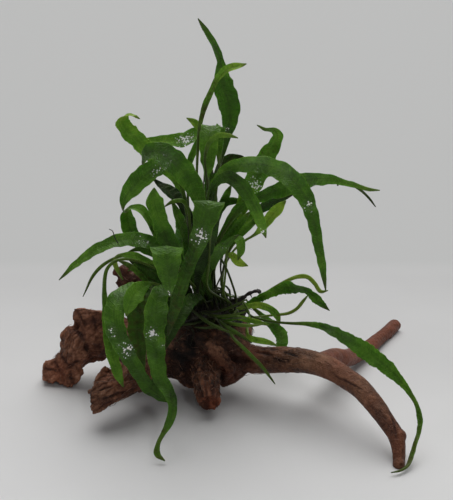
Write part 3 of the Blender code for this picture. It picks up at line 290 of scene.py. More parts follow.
# Small leaves with no solid of their own: as above, but with the leaf material's name first. The first route
# point is in the mat of roots and rhizomes.
SMALL_FRONDS = fronds("""
crown_side: bright 15 0 14 0.7 | -0.3 0 0.8 | 0.2 0 0 |
  204 300 -12 1.8, 206 250 -12 1.8, 208 200 -14 2, 208 160 -14 3, 204 137.5 -13 4, 198 126 -12 6,
  192 120.7 -11 5, 186.5 118 -10 0.8
left_yellow: lime 10 10 14 0.6 | -0.2 0.6 0.8 | 0.3 0.4 0.3 |
  186 308 6 1.8, 176 284 8 1.5, 140 262 10 1.5, 122 254 12 2, 115 258 14 3.5, 117 268 15 4, 123 280 16 0.8
left_olive: dark 20 0 14 0.8 | -0.2 0.1 0.05 | 0.5 0.4 0.4 |
  190 318 10 1.8, 180 296 8 1.5, 160 292 18 2, 148 284 24 4, 138 273 26 4.5, 128 265 27 4, 117 260 27 0.8
middle_pale: bright 15 0 20 0.8 | -0.3 0.1 0.2 | 0 0 0.1 |
  202 312 9 1.8, 196 262 20 1.5, 190 225 24 2, 187 206 26 3, 180 200 27 3.5, 172 202 27 3, 164 207 27 0.7
right_yellow: lime 10 10 12 0.6 | -0.1 0.75 1.1 | 0 0 0.05 |
  222 308 2 1.4, 222.4 285 6 1.4, 225 264 14 1.5, 229.5 254 20 3, 234 257 26 6.5, 239 262 29 7,
  244 265.5 31 4.5, 248 266 31 0.8
right_upright: bright -10 0 12 0.8 | -0.1 0.2 0.3 | 0 |
  222 305 -5 1.6, 223 270 -4 1.6, 231 247 -4 3, 242 232.6 -4 6, 251 225 -4 5, 260.5 217.5 -4 0.8
right_thin: lime 0 40 20 0.6 | 0.3 1.1 1.3 | 0 |
  232 319 -6 1.4, 246 317.5 -7 1.4, 262 316.5 -7 1.6, 274 315 -7 2.2, 285 314 -6 2.6, 293 311.5 -6 2.8,
  299 306.5 -5 2.8, 304 300 -5 2.6, 309 294 -5 0.7
right_low: bright 10 0 14 0.8 | 0.3 0.85 0.4 | 0 |
  224 314 0 1.8, 238 309 -1 3, 250 305.4 -3 5, 262 305.6 -4 6, 271 309.4 -5 6, 277 316 -6 5.5,
  279.5 326 -6 0.8
on_wood: dark 10 0 10 0.5 | -0.5 -0.3 -0.4 | 0.2 0.1 0.2 |
  236 320 10 1.6, 232 322 24 1.6, 222 325 31 2.2, 208 328 34 2.4, 194 327 36 0.8
right_long_fork: dark 30 40 10 0.5 | 0.5 0.1 -0.5 | 0 0.1 0.2 |
  338 180.5 30 1.6, 348 183 31 2, 356 187 33.5 2.2, 364 193 35 2, 370.6 200 36 1.8, 375.6 207 37 0.7
inner_dark_a: dark 10 10 12 0.9 | -0.6 -0.55 -0.5 | 0.1 0 0 |
  200 308 6 1.8, 196 290 8 5, 192 268 10 8.5, 188 246 11 8, 182 226 11 0.8
inner_dark_b: dark -15 10 12 0.9 | -0.6 -0.6 -0.5 | 0.1 0 0 |
  206 306 -2 1.8, 205 288 -2 5, 206 266 -3 9, 209 244 -3 8, 214 222 -3 0.8
inner_dark_c: dark 20 10 12 0.9 | -0.7 -0.7 -0.6 | 0.1 0 0 |
  194 308 -6 1.8, 188 290 -8 6, 181 270 -8 9, 175 250 -9 8, 171 228 -9 0.8
inner_dark_d: dark 0 10 12 0.9 | -0.3 -0.2 -0.3 | 0.1 0 0 |
  212 306 12 1.8, 209 290 15 5, 205 272 17 8, 203 252 19 7, 204 234 20 0.8
inner_dark_e: dark 25 -10 12 0.9 | -0.7 -0.75 -0.7 | 0.1 0 0 |
  198 304 -16 1.8, 199 282 -18 6, 197 258 -19 10, 196 232 -20 8, 199 208 -20 0.8
inner_low: dark 0 0 12 0.9 | -0.5 -0.3 -0.2 | 0.2 |
  190 314 20 1.8, 184 300 28 6, 179 290 32 9, 175 296 38 9, 174 312 42 7, 176 332 44 0.8
inner_dark_f: dark 15 10 12 0.9 | -0.7 -0.55 -0.4 | 0.2 0 0 |
  206 306 2 2, 206 292 3 7, 207 274 4 9, 210 256 5 8, 214 240 6 0.8
inner_dark_g: dark -10 10 12 0.9 | -0.5 -0.3 -0.3 | 0.2 0 0 |
  198 306 14 2, 199 294 16 8, 199 278 18 11, 197 262 19 9, 193 246 20 0.8
inner_dark_h: dark 10 0 12 0.9 | -0.7 -0.65 -0.5 | 0.2 0 0 |
  190 306 2 2, 186 292 3 7, 181 278 3 10, 176 262 3 10, 172 246 3 0.8
low_right: dark 15 10 12 0.9 | 0.1 0.45 0.5 | 0 |
  214 317 16 1.8, 228 317.5 24 3, 240 318 28 4, 251 320.4 29 4.5, 261 322.8 29 3.5, 269 325.4 28 0.8
low_front: dark 0 10 12 0.9 | 0 0.1 0.1 | 0.2 0.1 0.1 |
  212 317 18 1.8, 218 318 26 3.2, 226 318.5 31 4.5, 234 317.5 33 4, 242 317.2 33 0.8
left_shade: dark 5 10 12 0.9 | -0.4 -0.15 0.05 | 0.2 0.4 0.4 |
  180 306 24 1.8, 164 292 36 3, 150 287 44 8, 141 296 50 13, 137.5 312 54 15, 137.5 330 57 14,
  139.5 348 60 11, 142 364 62 6, 144 374 63 0.8
front_shade: dark 0 10 12 0.9 | -0.6 -0.55 -0.5 | 0.1 0.2 0.2 |
  190 310 26 1.8, 182 298 40 3, 173 293 50 7, 167.5 300 56 10, 166 314 60 10, 167 328 62 7, 168 342 63 0.8
middle_black: dark 20 10 10 0.7 | -0.8 -0.85 -0.4 | 0 |
  198 300 26 1.8, 197 284 32 4, 200 268 38 8, 206 252 42 9.5, 211.5 237 44 8.5, 216 223 45 5,
  220 211 45 0.8
inner_right_a: dark 10 10 14 0.8 | -0.5 -0.15 0.1 | 0 |
  211 300 4 1.8, 214 270 5 2, 220 252 6 5, 228 238 8 8, 236 227 9 8, 244 218 10 5, 251 211 11 0.8
inner_right_b: bright -10 10 14 0.8 | -0.2 0.35 0.5 | 0 |
  212 300 -8 1.8, 216 262 -10 2.5, 226 240 -12 7, 238 227 -13 9, 250 217 -14 7, 261 209 -14 0.8
fan_a: bright 10 0 14 0.5 | 0.2 0.5 0.6 | 0.1 |
  214 318 22 1.6, 226 322 30 2.4, 240 325 34 3, 253 325.5 35 2.4, 264 324 35 0.7
fan_b: dark -10 0 14 0.5 | -0.3 -0.5 -0.6 | 0.1 0.1 0.2 |
  210 318 24 1.6, 198 322.5 32 2, 186 324.5 35 2.4, 176 325 35 0.7
fan_c: bright 0 10 14 0.5 | 0 0.1 0 | 0.1 |
  212 315 22 1.6, 221 323 33 2.4, 232 330 38 3.2, 243 337 40 2.6, 252 343 41 0.7
left_tangle_a: dark 10 10 14 0.8 | -0.5 -0.35 -0.3 | 0.2 |
  184 308 12 1.8, 170 288 18 3, 158 277 21 7.5, 147 268 22 9, 138 262 22 6, 129 258 22 0.8
left_tangle_b: bright -10 10 14 0.8 | -0.4 -0.15 0 | 0.1 |
  184 304 8 1.8, 172 272 14 3, 160 257 16 6, 149 250 17 6, 138 249 17 4, 128 252 17 0.8
left_tangle_c: bright 10 0 18 0.7 | -0.3 0.05 0.1 | 0.2 0.1 0.1 |
  184 306 6 1.8, 168 278 8 2, 156 266 10 5, 146 262 10 5.5, 136 265 10 4, 128 271 10 0.8
inner_right_c: dark 10 10 12 0.9 | -0.6 -0.5 -0.3 | 0 |
  209 302 -10 1.8, 210 262 -12 1.8, 213 240 -13 2.5, 216 225 -14 4, 219 213 -14 5.5, 223.5 204 -14 7,
  230.5 200.6 -14 6.5, 238 201.6 -14 4.5, 245 203.8 -14 0.8
behind_arch: dark 10 0 12 0.9 | -0.5 -0.5 -0.5 | 0 0.3 0.5 |
  207 300 -14 1.8, 208 250 -15 1.8, 210 205 -16 2, 216 176 -16 5, 224 161 -16 7, 233 156.6 -16 5.6,
  242 157.6 -15 3.5, 249 161 -14 0.8
behind_stalk: bright -10 10 12 0.9 | -0.2 0.15 0.4 | 0.4 0.3 0 |
  198 302 -14 1.6, 192 250 -16 1.8, 188 200 -18 2, 188 172 -18 3, 192 156 -18 5.4, 198 142 -17 4.4,
  203 133 -16 0.8
inner_right_d: dark 10 10 12 0.9 | -0.5 -0.35 -0.1 | 0 |
  212 304 -8 1.8, 213 262 -10 1.8, 221 242 -11 5, 229.5 229 -11 8.5, 237 217 -11 9, 243.5 204 -11 8,
  250 192 -11 0.8
left_low: dark 0 10 14 0.8 | -0.5 -0.4 -0.3 | 0.1 0.2 0.2 |
  178 300 -8 1.8, 166 288 -8 4.5, 155.5 281.5 -8 6.5, 146 274 -8 6, 137 266 -8 4.5, 129 260 -8 0.8
base_a: dark 10 10 14 0.6 | -0.5 -0.35 -0.15 | 0 |
  203 311 24 1.4, 214 312 31 2, 226 309 34 2.4, 237 304.5 35 2, 247 299 35 0.7
base_b: bright -10 10 14 0.6 | -0.4 -0.1 0.1 | 0 |
  200 312 22 1.4, 211 315 31 2, 224 316 36 2.2, 237 314 38 2, 249 310.5 38 0.7
base_d: dark 10 0 12 0.6 | -0.4 -0.2 -0.1 | 0.1 0 0 |
  190 308 26 1.4, 199 316 35 2.4, 211 324 41 2.8, 224 330 44 2.2, 235 334.6 45 0.7
inner_right_e: dark 0 10 12 0.9 | -0.5 -0.25 0 | 0 |
  211 302 -14 1.8, 211 262 -16 1.8, 213.5 236 -17 2.5, 218 214 -17 4, 224 199.5 -17 6, 228.6 191 -17 5,
  231.4 184.5 -17 0.8""")

# Bare stalks that have lost their blades, and a dark tendril that curls off a blade.
TENDRIL = rows_of("""
    118 243 18 0.5, 114.5 237 19 0.45, 112.5 231 19 0.4, 109 229 19 0.3""")
BARE_STALKS = row_groups("""
    216 304 10 1, 215.5 292 12 1.3, 217 285 13 1.3, 221.7 275 13 1.3, 225 265 13 1.1, 231 254 13 0.8;
    211 312 26 0.9, 217 320 32 0.9, 224.4 330 38 0.9, 233 338.4 42 0.8, 240 344.5 43.5 0.7;
    208 316 24 0.9, 220 320 33 0.8, 233 318 36 0.8, 247 319 37 0.6;
    212 316 10 1.2, 196 280 16 1.1, 190 250 20 0.9, 187 214 22 0.7;
    200 306 -4 1.2, 196 250 -6 1, 203 190 -8 0.9, 206 140 -8 0.7""")

# How ragged some fronds' margins are, as a share of the half width.
RAGGED = {"right_jagged": 0.20, "right_floor": 0.10, "right_behind": 0.14, "left_hanging": 0.06,
          "upper_left_curl": 0.06}

# Where leaves are wet and carry painted glints: places in the front drawing, each with its size, how much it
# glitters, which adds a wet coat and paints white glint flecks into the leaf's colour, and how much it
# shines.
GLINT_AND_WET_PLACES = routes("""
middle_wet: 201 237 8 1 0.7, 209 201 7 0 0.7
front_left_long: 128 350 8 1 0.5, 112 332 4.5 0.9 0.3, 122 292 9 0 0.5
front_long: 152 334 6 1 0.5, 161 346 3.5 0.8 0.2, 158 290 8 0 0.4
front_broad: 169 293 3.5 0.9 0.2
right_curl: 256 185 8 0.9 0.4
right_arch: 309 206 5 0.9 0.3, 258 163 18 0 1, 284 172 14 0 0.8
upper_left_broad: 163 160 12 0.25 1, 147 157 7 0 0.8
left_drop: 157 172 6 0.7 0.4
back_left_pale: 186 140 9 0.9 0.8
left_long: 142 240 7 0.45 0.9, 118 242 9 0 0.4
right_drop: 263 232 3.5 0.9 0.3
top_arch_left: 209 128 9 0.2 1
right_long: 310 185 16 0 0.6
crown: 208 50 8 0.2 0.5, 228 132 6 0.5 0.5
right_jagged: 300 288 10 0.1 0.5
right_floor: 330 330 9 0 0.6, 345 336 9 0 0.4
right_inner: 240 212 4 0.3 0.4
middle_diagonal: 222 250 8 0.3 0.5
inner_dark_a: 190 262 6 0.3 0.3""")


def sighted(across, down, reach):
    """The point in space that the front drawing shows at (across, down), reach millimetres forward."""
    ray = FORWARD + SIDEWAYS * (across - DRAWN_MIDDLE[0]) / EYE_UNITS
    ray = ray + UPWARD * (DRAWN_MIDDLE[1] - down) / EYE_UNITS
    point = EYE + ray * (-reach * MILLIMETRE - EYE[1]) / ray[1]
    return point - np.array([*PLAN_MIDDLE, 0.0])


def drawn(points):
    """Where the front drawing shows points in space, as rows of across and down."""
    offsets = np.asarray(points) - EYE_IN_PART
    depths = offsets @ FORWARD
    across = DRAWN_MIDDLE[0] + EYE_UNITS * (offsets @ SIDEWAYS) / depths
    down = DRAWN_MIDDLE[1] - EYE_UNITS * (offsets @ UPWARD) / depths
    return np.column_stack([across, down])


def placed(route):
    """The route's points as rows of x, y, z and size, all in metres."""
    return np.array([[*sighted(*row[:3]), row[3] * MILLIMETRE] for row in route])


def unit(vectors):
    return vectors / np.linalg.norm(vectors, axis=-1, keepdims=True)


def step_lengths(points):
    return np.linalg.norm(np.diff(points, axis=0), axis=1)


def run_of(points):
    """How far along the line each of its points lies."""
    return np.concatenate([[0], np.cumsum(step_lengths(points))])


def smooth_run(knots, count):
    """COUNT rows along a smooth curve through the knots, evenly spaced by length."""
    times = np.concatenate([[0], np.cumsum(np.sqrt(step_lengths(knots[:, :3])))])
    slopes = np.gradient(knots, times, axis=0)
    fine = np.linspace(0, times[-1], SAMPLES_PER_KNOT * len(knots))
    span = np.clip(np.searchsorted(times, fine, side="right") - 1, 0, len(knots) - 2)
    width = (times[span + 1] - times[span])[:, None]
    s = (fine - times[span])[:, None] / width
    curve = (2 * s**3 - 3 * s**2 + 1) * knots[span] + (3 * s**2 - 2 * s**3) * knots[span + 1]
    curve = curve + ((s**3 - 2 * s**2 + s) * slopes[span] + (s**3 - s**2) * slopes[span + 1]) * width
    run = run_of(curve[:, :3])
    at = np.linspace(0, run[-1], count)
    return np.column_stack([np.interp(at, run, column) for column in curve.T])


def run_length(knots):
    fine = smooth_run(knots, SAMPLES_PER_KNOT * len(knots))
    return step_lengths(fine[:, :3]).sum()


def spaced_run(knots, spacing, fewest):
    """Rows about one spacing apart along a smooth curve through the knots."""
    return smooth_run(knots, max(fewest, round(run_length(knots) / spacing)))


def lean_order(name):
    """Sorts fronds from the left to the right by where their stalks go, the second point counting most."""
    first, second = FRONDS[name].route[:2]
    return second[0] + first[0] / 2


def stalk_feet():
    """Where each stalk stands on its rhizome: side by side, in the order of the ways that they lean."""
    feet = {}
    for rhizome, route in RHIZOMES.items():
        growing = [name for name, frond in FRONDS.items() if "rhizome_" + frond.home == rhizome]
        growing.sort(key=lean_order)
        rows = smooth_run(placed(route), len(growing) + 2)[1:-1]
        for name, row in zip(growing, rows):
            feet[name] = row[:3] + [0, 0, row[3] + STALK_STANDOFF]
    return feet


def frond_runs():
    """Each frond as evenly spaced rows of x, y, z and width, from the stalk's foot to the tip."""
    runs = {}
    feet = stalk_feet()
    for name, frond in FRONDS.items():
        foot = np.array([*feet[name], STALK_WIDTH])
        knots = placed(frond.route)
        shoot = foot + STALK_RISE * unit(knots[0] - foot) * STALK_LEAN + [0, 0, STALK_RISE, 0]
        shoot[3] = STALK_WIDTH
        runs[name] = spaced_run(np.vstack([foot, shoot, knots]), FROND_ROW_SPACING, FEWEST_FROND_ROWS)
    return runs


def crossings_of(runs, sights, depths):
    """Where two fronds cross in the front drawing: their rows there, which one lies behind (1 if the first
    does, or else -1), and the depth that they need between them."""
    tilts = {name: abs(np.sin(np.radians(FRONDS[name].turn))) for name in runs}
    crossings = []
    for one, other in itertools.combinations(runs, 2):
        apart = np.linalg.norm(sights[one][:, None] - sights[other][None], axis=2) * EYE_DISTANCE
        half_one = runs[one][:, 3] / 2
        half_other = runs[other][:, 3] / 2
        near = apart < half_one[:, None] + half_other[None] + CROSSING_MARGIN
        rows = np.flatnonzero(near.any(axis=1))
        for stretch in np.split(rows, np.flatnonzero(np.diff(rows) > LARGEST_ROW_GAP) + 1):
            if not len(stretch):
                continue
            i, j = np.nonzero(near[stretch])
            i = stretch[i]
            side = 1 if (depths[one][i] - depths[other][j]).mean() > 0 else -1
            need = FROND_CLEARANCE + tilts[one] * half_one[i] + tilts[other] * half_other[j]
            crossings.append((one, other, i, j, side, need))
    return crossings


def lean_apart(runs):
    """Fronds that cross in the front drawing lean apart along the line of sight until they are clear."""
    sights = {name: unit(run[:, :3] - EYE_IN_PART) for name, run in runs.items()}
    depths = {name: np.linalg.norm(run[:, :3] - EYE_IN_PART, axis=1) for name, run in runs.items()}
    starts = {name: depth.copy() for name, depth in depths.items()}
    crossings = crossings_of(runs, sights, depths)
    for _ in range(LEAN_ROUNDS):
        moves = {name: np.zeros((2, len(run))) for name, run in runs.items()}
        for one, other, i, j, side, need in crossings:
            lack = need - side * (depths[one][i] - depths[other][j])
            lack = np.clip(lack, 0, None) / 2
            np.maximum.at(moves[one][(1 - side) // 2], i, lack)
            np.maximum.at(moves[other][(1 + side) // 2], j, lack)
        for name, (back, front) in moves.items():
            lean = depths[name] - starts[name] + (back - front)
            lean[0] = 0
            padded = np.concatenate([[0], lean, lean[-1:]])
            lean = (padded[:-2] + 2 * padded[1:-1] + padded[2:]) / 4
            lean[0] = 0
            depths[name] = starts[name] + lean
    for name, run in runs.items():
        run[:, :3] = EYE_IN_PART + sights[name] * depths[name][:, None]
    return runs


def blade_sides(run, turn, spin):
    """The direction across the blade at each row: it faces the eye where the blade is widest."""
    spine = run[:, :3]
    along = unit(np.gradient(spine, axis=0))
    sides = np.empty_like(spine)
    widest = int(np.argmax(run[:, 3]))
    sides[widest] = np.cross(along[widest], unit(spine[widest] - EYE_IN_PART))
    for rows, before in ((range(widest + 1, len(run)), -1), (range(widest - 1, -1, -1), 1)):
        for row in rows:
            carried = sides[row + before]
            sides[row] = unit(carried - along[row] * (carried @ along[row]))
    sides = unit(sides)
    angles = np.radians(turn + spin * (np.linspace(0, 1, len(run)) - widest / len(run)))[:, None]
    return sides * np.cos(angles) + np.cross(along, sides) * np.sin(angles)


# Noise.
LATTICE_SIZE = 32
LATTICE = np.random.default_rng(7).uniform(-1, 1, (LATTICE_SIZE,) * 3)
CELL_JITTER = 0.45
CRACK_WIDTH = 0.35


def smoothstep(low, high, values):
    part = np.clip((values - low) / (high - low), 0, 1)
    return part * part * (3 - 2 * part)


def mottle(points):
    """Smooth noise from -1 to 1, whose patches are about one unit wide."""
    base = np.floor(points).astype(int)
    part = points - base
    part = part * part * (3 - 2 * part)
    total = np.zeros(len(points))
    for corner in itertools.product((0, 1), repeat=3):
        index = (base + corner) % LATTICE_SIZE
        weight = np.prod(np.where(corner, part, 1 - part), axis=1)
        total += weight * LATTICE[tuple(index.T)]
    return total


def layered(points, layers=3):
    """Noise with finer and finer layers, each half as strong as the one before."""
    return sum(mottle(points * 2**k + 11.3 * k) / 2**k for k in range(layers))


def chipped(points):
    """Noise of angular chips about one unit wide: 0 in a chip's middle, 1 in the cracks between chips."""
    base = np.floor(points).astype(int)
    nearest, second = np.full((2, len(points)), np.inf)
    for cell in itertools.product((-1, 0, 1), repeat=3):
        corner = base + cell
        x, y, z = (corner % LATTICE_SIZE).T
        jitter = np.column_stack([LATTICE[x, y, z], LATTICE[y, z, x], LATTICE[z, x, y]])
        away = np.linalg.norm(corner + 0.5 + CELL_JITTER * jitter - points, axis=1)
        second = np.minimum(second, np.maximum(away, nearest))
        nearest = np.minimum(nearest, away)
    return 1 - smoothstep(0.0, CRACK_WIDTH, second - nearest)


def near_spot(places, across, down, size):
    """1 at a spot of the front drawing, falling to 0 about two sizes away."""
    return np.exp(-((np.linalg.norm(places - [across, down], axis=1) / size) ** 2))


# Materials.
class Recipe:
    """A material's node tree, built one node at a time."""

    def __init__(self, name, **values):
        self.material = bpy.data.materials.new(name)
        self.material.use_nodes = True
        self.tree = self.material.node_tree
        self.shader = self.tree.nodes["Principled BSDF"]
        self.finish(**values)

    def feed(self, socket, value):
        if isinstance(value, bpy.types.NodeSocket):
            self.tree.links.new(value, socket)
        else:
            socket.default_value = value

    def finish(self, **sockets):
        for socket, value in sockets.items():
            self.feed(self.shader.inputs[socket.replace("_", " ")], value)
        return self.material

    def node(self, kind, inputs, **settings):
        made = self.tree.nodes.new("ShaderNode" + kind)
        for setting, value in settings.items():
            setattr(made, setting, value)
        for socket, value in inputs.items():
            self.feed(made.inputs[socket], value)
        return made

    def attribute(self, name):
        return self.node("Attribute", {}, attribute_name=name).outputs["Vector"]

    def place(self):
        return self.node("TexCoord", {}).outputs["Object"]

    def parts(self, vector):
        return self.node("SeparateXYZ", {0: vector}).outputs

    def maths(self, operation, *values):
        return self.node("Math", dict(enumerate(values)), operation=operation).outputs[0]

    def plus(self, base, *additions):
        """The base and each addition, which is a value and its factor."""
        for value, factor in additions:
            base = self.maths("MULTIPLY_ADD", value, factor, base)
        return base

    def swung(self, base, *additions):
        """The base and the swings of noises about their middle, each with its factor."""
        for noise, factor in additions:
            base = self.plus(base, (self.maths("SUBTRACT", noise, 0.5), factor))
        return base

    def stretched(self, vector, *factors):
        inputs = {0: vector, 1: factors}
        return self.node("VectorMath", inputs, operation="MULTIPLY").outputs[0]

    def noise(self, vector, scale, detail=3.0, distortion=0.0):
        inputs = {"Vector": vector, "Scale": scale, "Detail": detail, "Distortion": distortion}
        return self.node("TexNoise", inputs).outputs["Fac"]

    def cells(self, vector, scale, feature):
        """The distance to the edge of a cell, or with the feature F1 to its middle."""
        inputs = {"Vector": vector, "Scale": scale}
        return self.node("TexVoronoi", inputs, feature=feature).outputs["Distance"]

    def span(self, value, low, high, first=0.0, last=1.0):
        """The value's share of the way from low to high, as a number from first to last."""
        inputs = {"Value": value, "From Min": low, "From Max": high, "To Min": first, "To Max": last}
        return self.node("MapRange", inputs, interpolation_type="SMOOTHSTEP").outputs[0]

    def ramp(self, value, stops):
        made = self.node("ValToRGB", {0: value})
        elements = made.color_ramp.elements
        while len(elements) < len(stops):
            elements.new(0.5)
        for element, (position, colour) in zip(elements, stops):
            element.position = position
            element.color = (*colour, 1)
        return made.outputs["Color"]

    def mix(self, share, first, last, blend="MIX"):
        made = self.node("Mix", {}, data_type="RGBA", blend_type=blend)
        for socket, value in ((0, share), (6, first), (7, last)):
            if isinstance(value, tuple):
                value = (*value, 1)
            self.feed(made.inputs[socket], value)
        return made.outputs[2]

    def bump(self, height, distance, strength=1.0, under=None):
        inputs = {"Height": height, "Distance": distance, "Strength": strength}
        if under:
            inputs["Normal"] = under
        return self.node("Bump", inputs).outputs["Normal"]


LEAF_TONES = [
    (0.0, (0.004, 0.008, 0.003)),
    (0.25, (0.022, 0.045, 0.009)),
    (0.5, (0.052, 0.130, 0.011)),
    (0.75, (0.132, 0.285, 0.026)),
    (1.0, (0.320, 0.470, 0.050)),
]
STALK_TONES = [
    (0.0, (0.008, 0.006, 0.004)),
    (0.4, (0.024, 0.028, 0.008)),
    (1.0, (0.090, 0.130, 0.024)),
]
DEAD_LEAF_TONES = ((0.030, 0.018, 0.007), (0.075, 0.050, 0.015))
# Painted glints: the white that small flecks of a wet leaf's colour are painted with.
PAINTED_GLINT = (1.0, 1.0, 0.97)
# The side veins: how far apart they start, in millimetres, and how much they slant towards the tip.
VEIN_SPACING = 4.2
VEIN_SLANT = 0.55


def leaf_veins(leaf, along, aside, patches, blade):
    """Where a leaf has side veins, and where the net of fine veins between them."""
    order = leaf.plus(along, (aside, VEIN_SLANT), (patches, 2.0))
    beat = leaf.maths("PINGPONG", order, VEIN_SPACING / 2)
    vein = leaf.span(beat, 0.0, 0.55, 1.0, 0.0)
    net = leaf.cells(leaf.stretched(blade, 1.0, 1.0, 0.0), 0.55, "DISTANCE_TO_EDGE")
    return vein, leaf.span(net, 0.0, 0.16, 1.0, 0.0)


def leaf_colour(leaf, shade, tone, dryness, flat, fine, place):
    """Green on the blade and brownish on the stalk, with brown blotches where the leaf is dry."""
    green = leaf.ramp(shade, LEAF_TONES)
    spots = leaf.maths("SUBTRACT", leaf.noise(place, 260, 2), 0.5)
    dead = leaf.maths("ADD", dryness, leaf.maths("MULTIPLY", spots, 1.2))
    dead = leaf.maths("MULTIPLY", leaf.span(dead, 0.15, 0.75), leaf.span(dryness, 0.0, 0.15))
    brown = leaf.mix(fine, *DEAD_LEAF_TONES)
    blotched = leaf.mix(leaf.maths("MULTIPLY", dead, 0.8), green, brown)
    stalk_shade = leaf.plus(leaf.maths("MULTIPLY_ADD", fine, 0.4, 0.45), (tone, 0.7))
    stalk = leaf.ramp(stalk_shade, STALK_TONES)
    return leaf.mix(leaf.maths("MULTIPLY_ADD", flat, 0.8, 0.2), stalk, blotched)


def painted_glint_flecks(leaf, wet_and_glints, place):
    """Where small dots are painted white into the leaf's colour as glints, on its wet parts."""
    glint_size_noise = leaf.noise(place, 300, 2, 0.8)
    size = leaf.plus(leaf.maths("MULTIPLY_ADD", wet_and_glints, 0.60, -0.80), (glint_size_noise, 1.5))
    away = leaf.maths("SUBTRACT", leaf.cells(place, 560, "F1"), size)
    return leaf.maths("MULTIPLY", leaf.span(away, -0.08, 0.06, 1.0, 0.0), leaf.span(wet_and_glints, 0.08, 0.3))


def leaf_material(name):
    """A wet, glossy leaf with a midrib, slanting side veins, a net of fine veins, a margin lightened as
    painted rim light, and white flecks painted in as glints.
    """
    leaf = Recipe(name, IOR=1.42, Coat_Roughness=0.10, Subsurface_Weight=0.15, Subsurface_Scale=0.0012,
                  Specular_IOR_Level=0.35, Specular_Tint=(0.55, 0.85, 0.35, 1),
                  Subsurface_Radius=(0.5, 1.0, 0.2))
    blade = leaf.attribute("blade")
    along, across, share = leaf.parts(blade)
    tone, dryness, wet_and_glints = leaf.parts(leaf.attribute("look"))
    flat, shine, _ = leaf.parts(leaf.attribute("form"))
    place = leaf.place()
    patches = leaf.noise(place, 70, 4)
    fine = leaf.noise(place, 420, 3)
    lines = leaf.noise(leaf.stretched(blade, 0.06, 0.9, 0.0), 1.0, 3, 0.3)
    aside = leaf.maths("ABSOLUTE", across)
    vein, mesh = leaf_veins(leaf, along, aside, patches, blade)
    rib = leaf.span(aside, 0.15, 0.75, 1.0, 0.0)
    # Painted rim light: the margin is lightened where light would show through the thin edge.
    margin = leaf.span(leaf.maths("ABSOLUTE", share), 0.90, 1.0)
    shade = leaf.maths("MULTIPLY_ADD", tone, 0.5, 0.5)
    shade = leaf.swung(shade, (patches, 0.60), (fine, 0.20), (lines, 0.22))
    shade = leaf.plus(shade, (vein, 0.055), (mesh, 0.03), (margin, 0.12), (rib, -0.04))
    colour = leaf_colour(leaf, shade, tone, dryness, flat, fine, place)
    height = leaf.plus(leaf.maths("MULTIPLY", mesh, 0.4), (vein, 0.7))
    height = leaf.plus(leaf.maths("MULTIPLY", height, flat), (fine, 0.8))
    bumped = leaf.bump(height, 0.0004, 0.9)
    ripple = leaf.noise(place, 480, 3)
    film = leaf.bump(ripple, 0.0014, leaf.maths("MULTIPLY_ADD", wet_and_glints, 0.70, 0.15), bumped)
    # Painted glints: small white flecks in the base colour where the leaf is wet.
    colour = leaf.mix(painted_glint_flecks(leaf, wet_and_glints, place), colour, PAINTED_GLINT)
    rough = leaf.span(patches, 0.3, 0.7, 0.26, 0.42)
    coat = leaf.maths("MULTIPLY_ADD", leaf.maths("MAXIMUM", wet_and_glints, shine), 0.9, 0.05)
    return leaf.finish(Base_Color=colour, Normal=bumped, Coat_Normal=film, Coat_Weight=coat, Roughness=rough)


WOOD_TONES = [
    (0.0, (0.006, 0.003, 0.002)),
    (0.3, (0.050, 0.022, 0.013)),
    (0.55, (0.190, 0.088, 0.048)),
    (0.8, (0.380, 0.195, 0.115)),
    (1.0, (0.560, 0.340, 0.230)),
]
REDDENING = (1.0, 0.60, 0.48)
RED_WOOD = (0.150, 0.042, 0.020)


def wood_material():
    """Wet reddish wood: long grain, grooves darkened with painted shade, and red and olive patches."""
    wood = Recipe("driftwood_wet", IOR=1.45, Coat_Weight=0.05, Coat_Roughness=0.2, Specular_IOR_Level=0.25)
    grain = wood.attribute("grain")
    relief_shade, redness, pale = wood.parts(wood.attribute("bark"))
    place = wood.place()
    streaks = wood.noise(wood.stretched(grain, 0.10, 1.0, 1.0), 0.9, 4, 0.4)
    fibres = wood.noise(wood.stretched(grain, 0.22, 1.6, 1.6), 1.6, 3, 0.2)
    blotches = wood.noise(place, 48, 4)
    pits = wood.noise(place, 820, 3)
    flakes = wood.span(wood.noise(place, 260, 3), 0.38, 0.62)
    tone = wood.plus(wood.maths("MULTIPLY_ADD", streaks, 0.26, 0.40), (fibres, 0.20))
    tone = wood.swung(tone, (blotches, 0.30), (pits, 0.34), (flakes, 0.10))
    # Painted shade darkens grooves, chips, creases and notches; paleness holds some painted light and shade.
    tone = wood.plus(tone, (relief_shade, -0.50), (pale, 0.40))
    bare = wood.ramp(tone, WOOD_TONES)
    red = wood.mix(0.5, wood.mix(1.0, bare, REDDENING, "MULTIPLY"), RED_WOOD)
    colour = wood.mix(redness, bare, red)
    height = wood.plus(wood.maths("MULTIPLY", streaks, 0.8), (fibres, 0.6))
    bumped = wood.bump(height, 0.0012, 0.8)
    bumped = wood.bump(flakes, 0.0010, 0.8, bumped)
    bumped = wood.bump(pits, 0.0007, 0.8, bumped)
    rough = wood.span(blotches, 0.35, 0.65, 0.42, 0.68)
    return wood.finish(Base_Color=colour, Normal=bumped, Coat_Normal=bumped, Roughness=rough)


def stem_material(name, dark, light, roughness):
    """A rough stem, root or fibre, its colour going between dark and light in small patches."""
    stem = Recipe(name, IOR=1.45, Coat_Weight=0.15, Coat_Roughness=0.3)
    place = stem.place()
    patches = stem.noise(place, 260, 3)
    pits = stem.noise(place, 1100, 2)
    colour = stem.mix(stem.span(patches, 0.35, 0.7), dark, light)
    rough = stem.span(pits, 0.3, 0.7, roughness - 0.1, roughness + 0.1)
    return stem.finish(Base_Color=colour, Normal=stem.bump(pits, 0.0005, 0.7), Roughness=rough)


FLOOR_NEAR = (0.79, 0.79, 0.795)
FLOOR_FAR = (0.560, 0.565, 0.565)
FLOOR_TURNS_DARKER = (0.255, 0.315)


